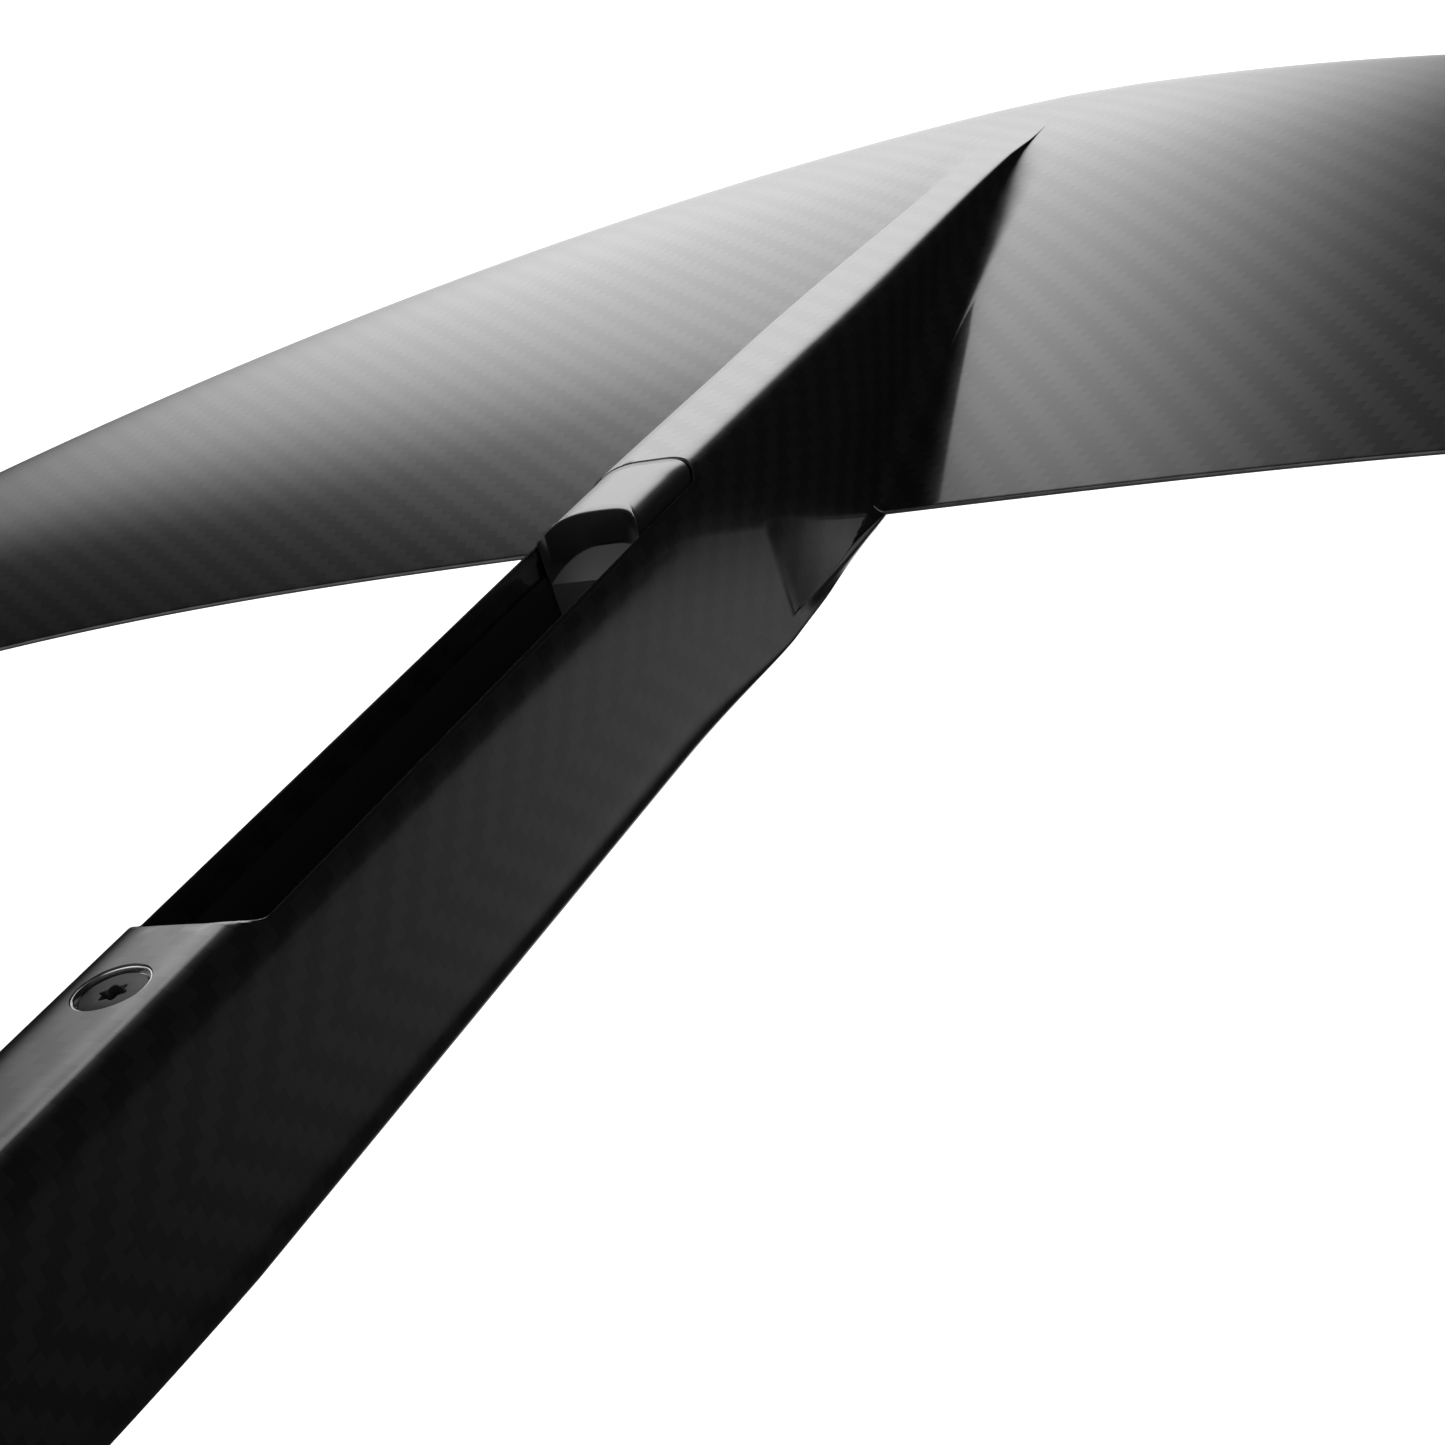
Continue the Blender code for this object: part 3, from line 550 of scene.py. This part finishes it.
def shell(name, outer, inner):
    """A closed sheet between two grids that share their keys."""
    keys = sorted(outer)
    number = {key: index for index, key in enumerate(keys)}
    cloth = drape(outer)
    points = [outer[key] for key in keys] + [inner[key] for key in keys]
    uvs = [cloth[key] for key in keys] * 2
    depth = len(keys)
    faces = []
    edges = {}
    for row, column in keys:
        cell = [(row, column), (row + 1, column), (row + 1, column + 1), (row, column + 1)]
        if any(key not in number for key in cell):
            continue
        ring = [number[key] for key in cell]
        faces.append(ring)
        faces.append([depth + index for index in reversed(ring)])
        for start, end in zip(ring, ring[1:] + ring[:1]):
            key = (min(start, end), max(start, end))
            edges[key] = edges.get(key, 0) + 1
    for (start, end), uses in edges.items():
        if uses == 1:
            faces.append([start, end, depth + end, depth + start])
    return new_object(name, points, faces, uvs=uvs, smooth_angle=40.0)


def skin(name, side):
    """One moulded skin, upper (+1) or lower (-1)."""
    outer = mirrored(skin_grid(side, 0.0))
    inner = mirrored(skin_grid(side, SKIN))
    last = max(row for row, _ in inner)
    for (row, column), (x, y, z) in list(inner.items()):
        if abs(row) == last:
            inner[row, column] = (x - math.copysign(SKIN, x), y, z)
    return shell(name, outer, inner)


def crown_drop(x):
    part = min(abs(x) / HALF_WIDTH, 1.0)
    return QUADRANT * (1.0 - (1.0 - part**CORNER_POWER) ** (1.0 / CORNER_POWER))


def deck_surface(x, y):
    return deck_z(y) - crown_drop(min(abs(x), 14.6))


def slot_cutter():
    """Cutter for the slot: its upper edge flares out along a small round."""
    inner = rounded_slot()
    sections = [[(x, y, 8.0) for x, y in inner]]
    for degrees in (0.0, 15.0, 30.0, 45.0, 60.0):
        angle = math.radians(degrees)
        outline = rounded_slot(SLOT_ROUND * (1.0 - math.cos(angle)))
        down = SLOT_ROUND * (1.0 - math.sin(angle))
        sections.append([(x, y, deck_surface(x, y) - down) for x, y in outline])
    outer = rounded_slot(SLOT_ROUND * 0.5 + 1.0)
    rise = SLOT_ROUND * (1.0 - math.sin(math.radians(60.0)))
    sections.append([(x, y, deck_surface(x, y) - rise + 1.0 / math.tan(math.radians(60.0))) for x, y in outer])
    sections.append([(x, y, CROWN_Z + 8.0) for x, y in outer])
    return loft("slot_cutter", sections)


def seat_cutter():
    radius = SEAT_RIM_RADIUS + 0.12
    profile = [(0.0, 24.0), (radius, 24.0), (radius, CROWN_Z + 8.0), (0.0, CROWN_Z + 8.0)]
    return turned("seat_cutter", profile, (0.0, SCREW_Y), 128)


def notch_cutter():
    low = (-30.0, PAD_LOW.y - GAP, PAD_Z)
    return block("notch_cutter", low, (30.0, 300.0, 60.0))


# ---------------------------------------------------------------- slot pieces


def arc_depth(across):
    depth = max(1.0 - abs(across) ** ARC_POWER, 0.0) ** ARC_ROUND
    return ARC_SIDE_Y + (ARC_APEX_Y - ARC_SIDE_Y) * depth


def filler_outline(inset, arc_back=0.0, count=40):
    """Plan outline of the filler: rounded front and a hollow rear for the mast."""
    width = SLOT_HALF_WIDTH - inset
    front_y = SLOT_FRONT_Y + inset
    radius = SLOT_FRONT_RADIUS - inset
    outline = []
    for start, x in ((180.0, -width + radius), (270.0, width - radius)):
        for degrees in steps(start, start + 90.0, 14):
            angle = math.radians(degrees)
            outline.append((
                x + radius * math.cos(angle), front_y + radius + radius * math.sin(angle)
            ))
    for y in steps(front_y + radius, ARC_SIDE_Y - arc_back, 12)[1:-1]:
        outline.append((width, y))
    for degrees in steps(0.0, 180.0, count):
        across = math.cos(math.radians(degrees))
        outline.append((width * across, arc_depth(across) - arc_back))
    for y in steps(ARC_SIDE_Y - arc_back, front_y + radius, 12)[1:-1]:
        outline.append((-width, y))
    return outline


def ramp_z(y):
    slope = (LEDGE_Z - RAMP_TOP_Z) / (LEDGE_Y - ARC_APEX_Y)
    return min(RAMP_TOP_Z, RAMP_TOP_Z + slope * (y - ARC_APEX_Y))


def slot_filler():
    """Crowned cap with chamfered edges, and a wider bevel along its hollow rear."""
    rings = []
    for inset, back, down in ((0.0, 0.0, None), (0.0, 0.0, 0.7), (0.12, 0.35, 0.28), (0.35, 1.0, 0.0)):
        outline = filler_outline(FILLER_GAP + inset * FILLER_CHAMFER / 0.35, back * ARC_BEVEL)
        if down is None:
            rings.append([(x, y, ramp_z(y) + GAP) for x, y in outline])
        else:
            rings.append([(x, y, deck_surface(x, y) - down * 0.5) for x, y in outline])
    top = rings[-1]
    centre_y = -92.0
    for share in (0.75, 0.5, 0.25, 0.06):
        ring = []
        for x, y, _ in top:
            near_x = x * share
            near_y = centre_y + (y - centre_y) * share
            ring.append((near_x, near_y, deck_surface(near_x, near_y)))
        rings.append(ring)
    return loft("slot_filler_cap", rings, smooth_angle=32.0)


def filler_block():
    """Fixed block under the filler, with the ramp that meets the mast's nose."""
    half = SLOT_HALF_WIDTH - GAP
    top = [(ARC_APEX_Y, RAMP_TOP_Z), (LEDGE_Y - 0.3, LEDGE_Z + 0.19), (LEDGE_Y, LEDGE_Z - 0.2)]
    profile = [(BLOCK_FRONT_Y, BLOCK_LOW_Z), (BLOCK_FRONT_Y, RAMP_TOP_Z), *top, (LEDGE_Y, BLOCK_LOW_Z)]
    sections = [[(x, y, z) for y, z in profile] for x in (-half, half)]
    return loft("filler_ramp", sections)


def drive_outline(radius, count=96, lobes=6):
    """Plan outline of the six-lobed drive recess."""
    outline = []
    for index in range(count):
        angle = 2 * math.pi * index / count
        reach = radius * (0.86 + 0.14 * math.cos(lobes * angle))
        outline.append((reach * math.cos(angle), SCREW_Y + reach * math.sin(angle)))
    return outline


def mast_screw():
    """Countersunk screw with a lobed drive recess and a ribbed thread."""
    top = SCREW_TOP_Z
    cone = HEAD_RADIUS - SHANK_RADIUS
    profile = [
        (0.0, top), (HEAD_RADIUS - 0.35, top), (HEAD_RADIUS - 0.1, top - 0.08),
        (HEAD_RADIUS, top - 0.3), (HEAD_RADIUS, top - 0.5), (SHANK_RADIUS, top - 0.5 - cone),
    ]
    height = top - 18.0
    while height - THREAD_PITCH > SCREW_BOTTOM_Z + 1.0:
        profile.append((SHANK_RADIUS, height))
        profile.append((SHANK_RADIUS - THREAD_DEPTH, height - 0.4 * THREAD_PITCH))
        profile.append((SHANK_RADIUS - THREAD_DEPTH, height - 0.55 * THREAD_PITCH))
        height -= THREAD_PITCH
    profile += [
        (SHANK_RADIUS, height), (SHANK_RADIUS, SCREW_BOTTOM_Z + 0.8),
        (SHANK_RADIUS - 0.8, SCREW_BOTTOM_Z), (0.0, SCREW_BOTTOM_Z),
    ]
    made = turned("mast_screw_fine", profile[::-1], (0.0, SCREW_Y), 96)
    sections = []
    for z, grow in ((top - DRIVE_DEPTH, 0.0), (top - 0.12, 0.0), (top + 0.2, 0.3), (top + 2.0, 0.3)):
        sections.append([(x, y, z) for x, y in drive_outline(DRIVE_RADIUS + grow)])
    return subtract(made, loft("drive_cutter", sections))


def screw_seat():
    """Turned metal bushing in the deck under the screw's conical head."""
    throat_z = SCREW_TOP_Z - 0.5 - (SEAT_RADIUS - SEAL_BORE)
    profile = [
        (SEAL_BORE, SEAT_BOTTOM_Z), (SEAT_BODY_RADIUS, SEAT_BOTTOM_Z),
        (SEAT_BODY_RADIUS, CROWN_Z - 2.8), (SEAT_RIM_RADIUS, CROWN_Z - 2.8),
        (SEAT_RIM_RADIUS, SEAT_TOP_Z - 0.06), (SEAT_RIM_RADIUS - 0.06, SEAT_TOP_Z),
        (SEAT_RADIUS + 0.12, SEAT_TOP_Z), (SEAT_RADIUS, SEAT_TOP_Z - 0.12),
        (SEAT_RADIUS, SCREW_TOP_Z - 0.5), (SEAL_BORE, throat_z),
    ]
    return turned("screw_seat_fine", profile, (0.0, SCREW_Y), 128)


def tail_cap():
    """Moulded plug that closes the tail, with a domed end."""
    middle = (PAD_Z + belly_z(CAP_LOW.y)) / 2
    high = (PAD_Z - belly_z(CAP_LOW.y)) / 2
    wide = half_width(CAP_LOW.y)
    depth = CAP_HIGH.y - CAP_LOW.y
    sections = []
    for degrees in steps(0.0, 84.0, 16):
        angle = math.radians(degrees)
        y = CAP_LOW.y + depth * math.sin(angle) / math.sin(math.radians(84.0))
        scale = 0.62 + 0.38 * math.cos(angle) ** 0.7
        outline = []
        for turn in steps(0.0, 360.0, 96)[:-1]:
            spin = math.radians(turn)
            reach_x = abs(math.cos(spin)) ** (2 / 3.6)
            reach_z = abs(math.sin(spin)) ** (2 / 3.6)
            x = math.copysign(wide * scale * reach_x, math.cos(spin))
            z = middle + math.copysign(high * scale * reach_z, math.sin(spin))
            outline.append((x, y, z))
        sections.append(outline)
    return loft("tail_cap_fine", sections)


# ---------------------------------------------------------------- shader helpers


class Nodes:
    """Short names for the nodes and links of one node tree."""

    def __init__(self, tree):
        self.tree = tree

    def add(self, kind, **settings):
        node = self.tree.nodes.new(kind)
        for name, value in settings.items():
            setattr(node, name, value)
        return node

    def feed(self, socket, value):
        if isinstance(value, bpy.types.NodeSocket):
            self.tree.links.new(value, socket)
        elif value is not None:
            socket.default_value = value

    def math(self, operation, a, b=None, c=None):
        node = self.add("ShaderNodeMath", operation=operation)
        for socket, value in zip(node.inputs, (a, b, c)):
            self.feed(socket, value)
        return node.outputs[0]

    def window(self, value, low, high, start=0.0, end=1.0):
        """A smooth step from start at low to end at high."""
        node = self.add("ShaderNodeMapRange", interpolation_type="SMOOTHSTEP")
        for name, entry in (("Value", value), ("From Min", low), ("From Max", high), ("To Min", start), ("To Max", end)):
            self.feed(node.inputs[name], entry)
        return node.outputs["Result"]

    def mix(self, share, a, b):
        node = self.add("ShaderNodeMix", data_type="RGBA")
        self.feed(node.inputs["Factor"], share)
        self.feed(node.inputs["A"], a)
        self.feed(node.inputs["B"], b)
        return node.outputs["Result"]

    def noise(self, vector, scale, detail=3.0, roughness=0.5):
        node = self.add("ShaderNodeTexNoise")
        self.feed(node.inputs["Vector"], vector)
        node.inputs["Scale"].default_value = scale
        node.inputs["Detail"].default_value = detail
        node.inputs["Roughness"].default_value = roughness
        return node.outputs["Fac"]

    def bump(self, height, strength, distance):
        node = self.add("ShaderNodeBump")
        self.feed(node.inputs["Height"], height)
        node.inputs["Strength"].default_value = strength
        node.inputs["Distance"].default_value = distance
        return node.outputs["Normal"]

    def scaled(self, vector, scale):
        node = self.add("ShaderNodeMapping")
        self.feed(node.inputs["Vector"], vector)
        node.inputs["Scale"].default_value = scale
        return node.outputs["Vector"]


def new_material(name):
    """A material, its node helper and its Principled shader."""
    made = bpy.data.materials.new(name)
    made.use_nodes = True
    return made, Nodes(made.node_tree), made.node_tree.nodes["Principled BSDF"]


def object_space(n):
    return n.add("ShaderNodeTexCoord").outputs["Object"]


def grey(value):
    return (value, value, value, 1.0)


# ---------------------------------------------------------------- materials


def twill(n, cloth):
    """(which tow is on top, crown across it, fibre streaks) of a 2x2 twill."""
    split = n.add("ShaderNodeSeparateXYZ")
    n.feed(split.inputs[0], cloth)
    across = n.math("DIVIDE", split.outputs[0], TOW)
    along = n.math("DIVIDE", split.outputs[1], TOW)
    total = n.math("ADD", n.math("FLOOR", across), n.math("FLOOR", along))
    phase = n.math("FLOORED_MODULO", total, 4.0)
    on_top = n.math("LESS_THAN", phase, 1.5)
    along_part = n.math("FRACT", along)
    across_part = n.math("FRACT", across)
    pick = n.math("ADD", n.math("MULTIPLY", across_part, on_top),
                  n.math("MULTIPLY", along_part, n.math("SUBTRACT", 1.0, on_top)))
    off = n.math("SUBTRACT", n.math("MULTIPLY", pick, 2.0), 1.0)
    crown = n.math("SUBTRACT", 1.0, n.math("POWER", n.math("ABSOLUTE", off), 4.0))
    warp = n.noise(n.scaled(cloth, (9000.0, 160.0, 1.0)), 1.0, 2.0)
    weft = n.noise(n.scaled(cloth, (160.0, 9000.0, 1.0)), 1.0, 2.0)
    streak = n.math("ADD", n.math("MULTIPLY", warp, on_top),
                    n.math("MULTIPLY", weft, n.math("SUBTRACT", 1.0, on_top)))
    return on_top, crown, streak


def carbon_cloth():
    """Clear-coated twill: tows that run along the body are painted brighter, a painted sheen for the way light
    glances off fibres laid in that direction.
    """
    made, n, shader = new_material("carbon_twill_fine")
    cloth = n.add("ShaderNodeUVMap", uv_map="cloth").outputs[0]
    on_top, crown, streak = twill(n, cloth)
    patch = n.noise(n.scaled(cloth, (230.0, 70.0, 1.0)), 1.0, 1.0)
    # Painted sheen: on_top makes the tows along the body lighter and more specular, in place of how their
    # fibres catch the light.
    level = n.math("ADD", n.math("MULTIPLY", on_top, 0.26), n.math("MULTIPLY", streak, 0.22))
    level = n.math("ADD", level, n.math("MULTIPLY", crown, 0.06))
    level = n.math("ADD", level, n.math("MULTIPLY", patch, 0.10))
    n.feed(shader.inputs["Base Color"], n.mix(level, grey(0.0035), grey(0.011)))
    n.feed(shader.inputs["Specular IOR Level"], n.math("ADD", 0.22, n.math("MULTIPLY", level, 0.55)))
    n.feed(shader.inputs["Roughness"], n.math("SUBTRACT", 0.36, n.math("MULTIPLY", streak, 0.08)))
    shader.inputs["Coat Weight"].default_value = 1.0
    shader.inputs["Coat Roughness"].default_value = 0.085
    shader.inputs["Coat IOR"].default_value = 1.5
    return made


def coated_composite(name="filler_coat"):
    """Painted, clear-coated composite of the filler, with a faint orange peel."""
    made, n, shader = new_material(name)
    place = object_space(n)
    speck = n.noise(n.scaled(place, (2500.0, 260.0, 900.0)), 1.0, 2.0)
    n.feed(shader.inputs["Base Color"], n.mix(speck, grey(0.004), grey(0.010)))
    n.feed(shader.inputs["Roughness"], n.math("ADD", 0.30, n.math("MULTIPLY", speck, 0.08)))
    shader.inputs["Coat Weight"].default_value = 1.0
    shader.inputs["Coat Roughness"].default_value = 0.10
    n.feed(shader.inputs["Coat Normal"], n.bump(n.noise(place, 900.0, 2.0), 0.02, 0.0002))
    return made


def moulded(name, low, high, roughness, grain=1400.0, bump=0.12):
    """Matte moulded plastic or composite with a fine grain."""
    made, n, shader = new_material(name)
    place = object_space(n)
    grains = n.noise(place, grain, 3.0)
    clouds = n.noise(place, 60.0, 2.0)
    n.feed(shader.inputs["Base Color"], n.mix(clouds, grey(low), grey(high)))
    n.feed(shader.inputs["Roughness"], n.math("ADD", roughness - 0.05, n.math("MULTIPLY", grains, 0.1)))
    n.feed(shader.inputs["Normal"], n.bump(grains, bump, 0.00004))
    return made


def unidirectional_carbon():
    """Bare spar laminate: fine straight fibres along the span."""
    made, n, shader = new_material("spar_carbon_fine")
    place = object_space(n)
    fibres = n.noise(n.scaled(place, (60.0, 4200.0, 4200.0)), 1.0, 3.0)
    n.feed(shader.inputs["Base Color"], n.mix(fibres, grey(0.012), grey(0.05)))
    n.feed(shader.inputs["Roughness"], n.math("SUBTRACT", 0.5, n.math("MULTIPLY", fibres, 0.15)))
    n.feed(shader.inputs["Normal"], n.bump(fibres, 0.25, 0.00005))
    return made


def foam():
    """Cut rigid foam: open cells of about half a millimetre."""
    made, n, shader = new_material("foam_fine")
    place = object_space(n)
    cells = n.add("ShaderNodeTexVoronoi", feature="F1")
    n.feed(cells.inputs["Vector"], place)
    cells.inputs["Scale"].default_value = 1900.0
    pits = n.window(cells.outputs["Distance"], 0.15, 0.6)
    n.feed(shader.inputs["Base Color"], n.mix(pits, (0.60, 0.56, 0.44, 1.0), (0.42, 0.39, 0.30, 1.0)))
    shader.inputs["Roughness"].default_value = 0.92
    n.feed(shader.inputs["Normal"], n.bump(pits, 0.5, 0.0002))
    return made


def metal(name, colour, roughness, ring_scale, ring_bump):
    """Turned metal with fine tool rings about the vertical axis of the screw."""
    made, n, shader = new_material(name)
    place = object_space(n)
    rings = n.noise(n.scaled(place, (40.0, 40.0, ring_scale)), 1.0, 2.0)
    smudge = n.noise(place, 420.0, 2.0)
    shader.inputs["Base Color"].default_value = colour
    shader.inputs["Metallic"].default_value = 1.0
    n.feed(shader.inputs["Roughness"], n.math("ADD", roughness - 0.04, n.math("MULTIPLY", smudge, 0.09)))
    n.feed(shader.inputs["Normal"], n.bump(rings, ring_bump, 0.00002))
    return made


def black_steel():
    """Black-coated screw, satin, a little lighter where the coat is thin."""
    made, n, shader = new_material("dark_steel_fine")
    place = object_space(n)
    grain = n.noise(place, 2600.0, 3.0)
    n.feed(shader.inputs["Base Color"], n.mix(grain, grey(0.020), grey(0.034)))
    shader.inputs["Metallic"].default_value = 0.35
    n.feed(shader.inputs["Roughness"], n.math("ADD", 0.36, n.math("MULTIPLY", grain, 0.12)))
    n.feed(shader.inputs["Normal"], n.bump(grain, 0.15, 0.00002))
    return made


# ---------------------------------------------------------------- light


def patch(n, azimuth, elevation, centre, reach, heights, strength):
    """A soft patch of light: full within reach[0] degrees, gone beyond reach[1]."""
    away = n.math("ABSOLUTE", n.math("SUBTRACT", azimuth, centre))
    wrap = n.math("MINIMUM", away, n.math("SUBTRACT", 360.0, away))
    side = n.window(wrap, reach[0], reach[1], 1.0, 0.0)
    low, low_full, high_full, high = heights
    rising = n.window(elevation, low, low_full)
    falling = n.window(elevation, high_full, high, 1.0, 0.0)
    return n.math("MULTIPLY", n.math("MULTIPLY", side, n.math("MULTIPLY", rising, falling)), strength)


def key_light(n, azimuth, elevation):
    """The large panel ahead on the port side: it leans over, so its edges curve."""
    lifted = n.math("MAXIMUM", elevation, 0.0)
    low_edge = n.math("MULTIPLY_ADD", n.math("MULTIPLY", lifted, lifted), 0.0073, 11.0)
    above = n.math("MAXIMUM", n.math("SUBTRACT", elevation, 28.0), 0.0)
    bend = n.math("MULTIPLY", n.math("MULTIPLY", above, above), 0.08)
    spread = n.math("MULTIPLY_ADD", n.math("MINIMUM", elevation, 28.0), 0.25, 38.5)
    high_edge = n.math("MAXIMUM", n.math("SUBTRACT", spread, bend), 38.0)
    rising = n.window(n.math("SUBTRACT", azimuth, low_edge), -6.5, 6.5)
    falling = n.window(n.math("SUBTRACT", azimuth, high_edge), -11.0, 11.0, 1.0, 0.0)
    level = n.window(elevation, -4.0, 29.0, 0.9, 2.0)
    ends = n.math("MULTIPLY", n.window(elevation, -50.0, -20.0), n.window(elevation, 50.0, 66.0, 1.0, 0.0))
    return n.math("MULTIPLY", n.math("MULTIPLY", rising, falling), n.math("MULTIPLY", level, ends))


def side_glow(n, azimuth, elevation):
    """Weak light from low on the starboard side, with a sharp upper edge."""
    away = n.math("ABSOLUTE", n.math("ADD", azimuth, 30.0))
    fade = n.math("EXPONENT", n.math("MULTIPLY", n.math("POWER", n.math("DIVIDE", away, 9.0), 1.3), -1.0))
    heights = n.math("MULTIPLY", n.window(elevation, -20.5, -18.0, 1.0, 0.0), n.window(elevation, -36.0, -25.0))
    return n.math("MULTIPLY", n.math("MULTIPLY", fade, heights), 0.37)


# centre azimuth, (full, gone) to each side, (low, full, full, high) elevation, strength
PATCHES = (
    (165.0, (45.0, 85.0), (-30.0, 0.0, 50.0, 85.0), 1.1),
    (180.0, (60.0, 100.0), (-95.0, -80.0, -40.0, -25.0), 0.5),
    (-105.0, (12.0, 36.0), (-10.0, 12.0, 35.0, 65.0), 0.7),
)
AMBIENT = 0.008
DIFFUSE_LIGHT = 0.4


def studio_world():
    """White to the camera, and soft panels of light to everything that reflects."""
    world = bpy.data.worlds.new("studio")
    world.use_nodes = True
    bpy.context.scene.world = world
    n = Nodes(world.node_tree)
    background = world.node_tree.nodes["Background"]
    split = n.add("ShaderNodeSeparateXYZ")
    n.feed(split.inputs[0], n.add("ShaderNodeTexCoord").outputs["Generated"])
    x, y, z = split.outputs[0], split.outputs[1], split.outputs[2]
    azimuth = n.math("DEGREES", n.math("ARCTAN2", x, n.math("MULTIPLY", y, -1.0)))
    elevation = n.math("DEGREES", n.math("ARCSINE", z))
    total = n.math("ADD", key_light(n, azimuth, elevation), side_glow(n, azimuth, elevation))
    for entry in PATCHES:
        total = n.math("ADD", total, patch(n, azimuth, elevation, *entry))
    total = n.math("ADD", total, AMBIENT)
    path = n.add("ShaderNodeLightPath")
    seen = n.math("MAXIMUM", path.outputs["Is Camera Ray"], path.outputs["Is Transmission Ray"])
    glossy = path.outputs["Is Glossy Ray"]
    soft = n.math("MULTIPLY", n.math("SUBTRACT", 1.0, glossy), DIFFUSE_LIGHT)
    light = n.math("ADD", n.math("MULTIPLY", total, glossy), soft)
    dark = n.math("MULTIPLY", light, n.math("SUBTRACT", 1.0, seen))
    n.feed(background.inputs["Strength"], n.math("ADD", dark, seen))
    background.inputs["Color"].default_value = grey(1.0)


def pale_floor():
    """Plain pale floor, seen by the camera only."""
    floor = block("floor", (-9000.0, -9000.0, FLOOR_Z / MM - 10.0), (9000.0, 9000.0, FLOOR_Z / MM))
    made, n, shader = new_material("pale_floor")
    shader.inputs["Base Color"].default_value = grey(0.9)
    shader.inputs["Emission Color"].default_value = grey(1.0)
    shader.inputs["Emission Strength"].default_value = 1.0
    floor.data.materials.append(made)
    floor.visible_glossy = False
    floor.visible_diffuse = False
    floor.visible_shadow = False


def camera():
    data = bpy.data.cameras.new("camera")
    data.lens = CAMERA_LENS
    data.sensor_width = 36.0
    data.clip_start = 0.01
    made = bpy.data.objects.new("camera", data)
    bpy.context.scene.collection.objects.link(made)
    turn = Vector(CAMERA_DIRECTION).to_track_quat("-Z", "Y").to_matrix().to_4x4()
    roll = Matrix.Rotation(math.radians(CAMERA_ROLL), 4, "Z")
    made.matrix_world = Matrix.Translation(CAMERA_AT) @ turn @ roll
    bpy.context.scene.camera = made


# ---------------------------------------------------------------- assembly


def repaint(names, finish):
    """A new finish for CAD nodes whose shape stays."""
    for name in names:
        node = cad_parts[name]
        node.data.materials.clear()
        node.data.materials.append(finish)


def build():
    cloth = carbon_cloth()
    upper = subtract(skin("upper_skin_fine", 1), slot_cutter(), seat_cutter(), notch_cutter())
    piece(upper, cloth, "wing", "carbon_twill", "upper_skin")
    piece(skin("lower_skin_fine", -1), cloth, "wing", "carbon_twill", "lower_skin")
    piece(slot_filler(), coated_composite(), "filler", "filler", "slot_filler")
    block_finish = moulded("filler_block_fine", 0.07, 0.085, 0.42)
    piece(filler_block(), block_finish, "wing", "socket_carbon", "filler_block")
    piece(mast_screw(), black_steel(), "screw", "dark_steel", "mast_screw")
    steel = metal("bright_steel_fine", (0.72, 0.72, 0.73, 1.0), 0.2, 9000.0, 0.3)
    piece(screw_seat(), steel, "wing", "bright_steel", "screw_seat")
    piece(tail_cap(), moulded("cap_fine", 0.012, 0.02, 0.5), "wing", "cap_plastic", "tail_cap")
    repaint(["mast_socket"], moulded("socket_fine", 0.0035, 0.006, 0.55))
    repaint(["port_core", "starboard_core", "nose_core", "tail_core"], foam())
    repaint(["main_spar", "stabiliser_pad"], unidirectional_carbon())
    brass = metal("brass_fine", (0.72, 0.52, 0.22, 1.0), 0.3, 7000.0, 0.4)
    repaint(["mast_screw_insert", "stabiliser_insert_front", "stabiliser_insert_rear"], brass)
    repaint(["screw_seal"], moulded("rubber_fine", 0.012, 0.018, 0.75, 900.0, 0.3))


build()
studio_world()
pale_floor()
camera()
bpy.context.scene.view_settings.view_transform = "Standard"
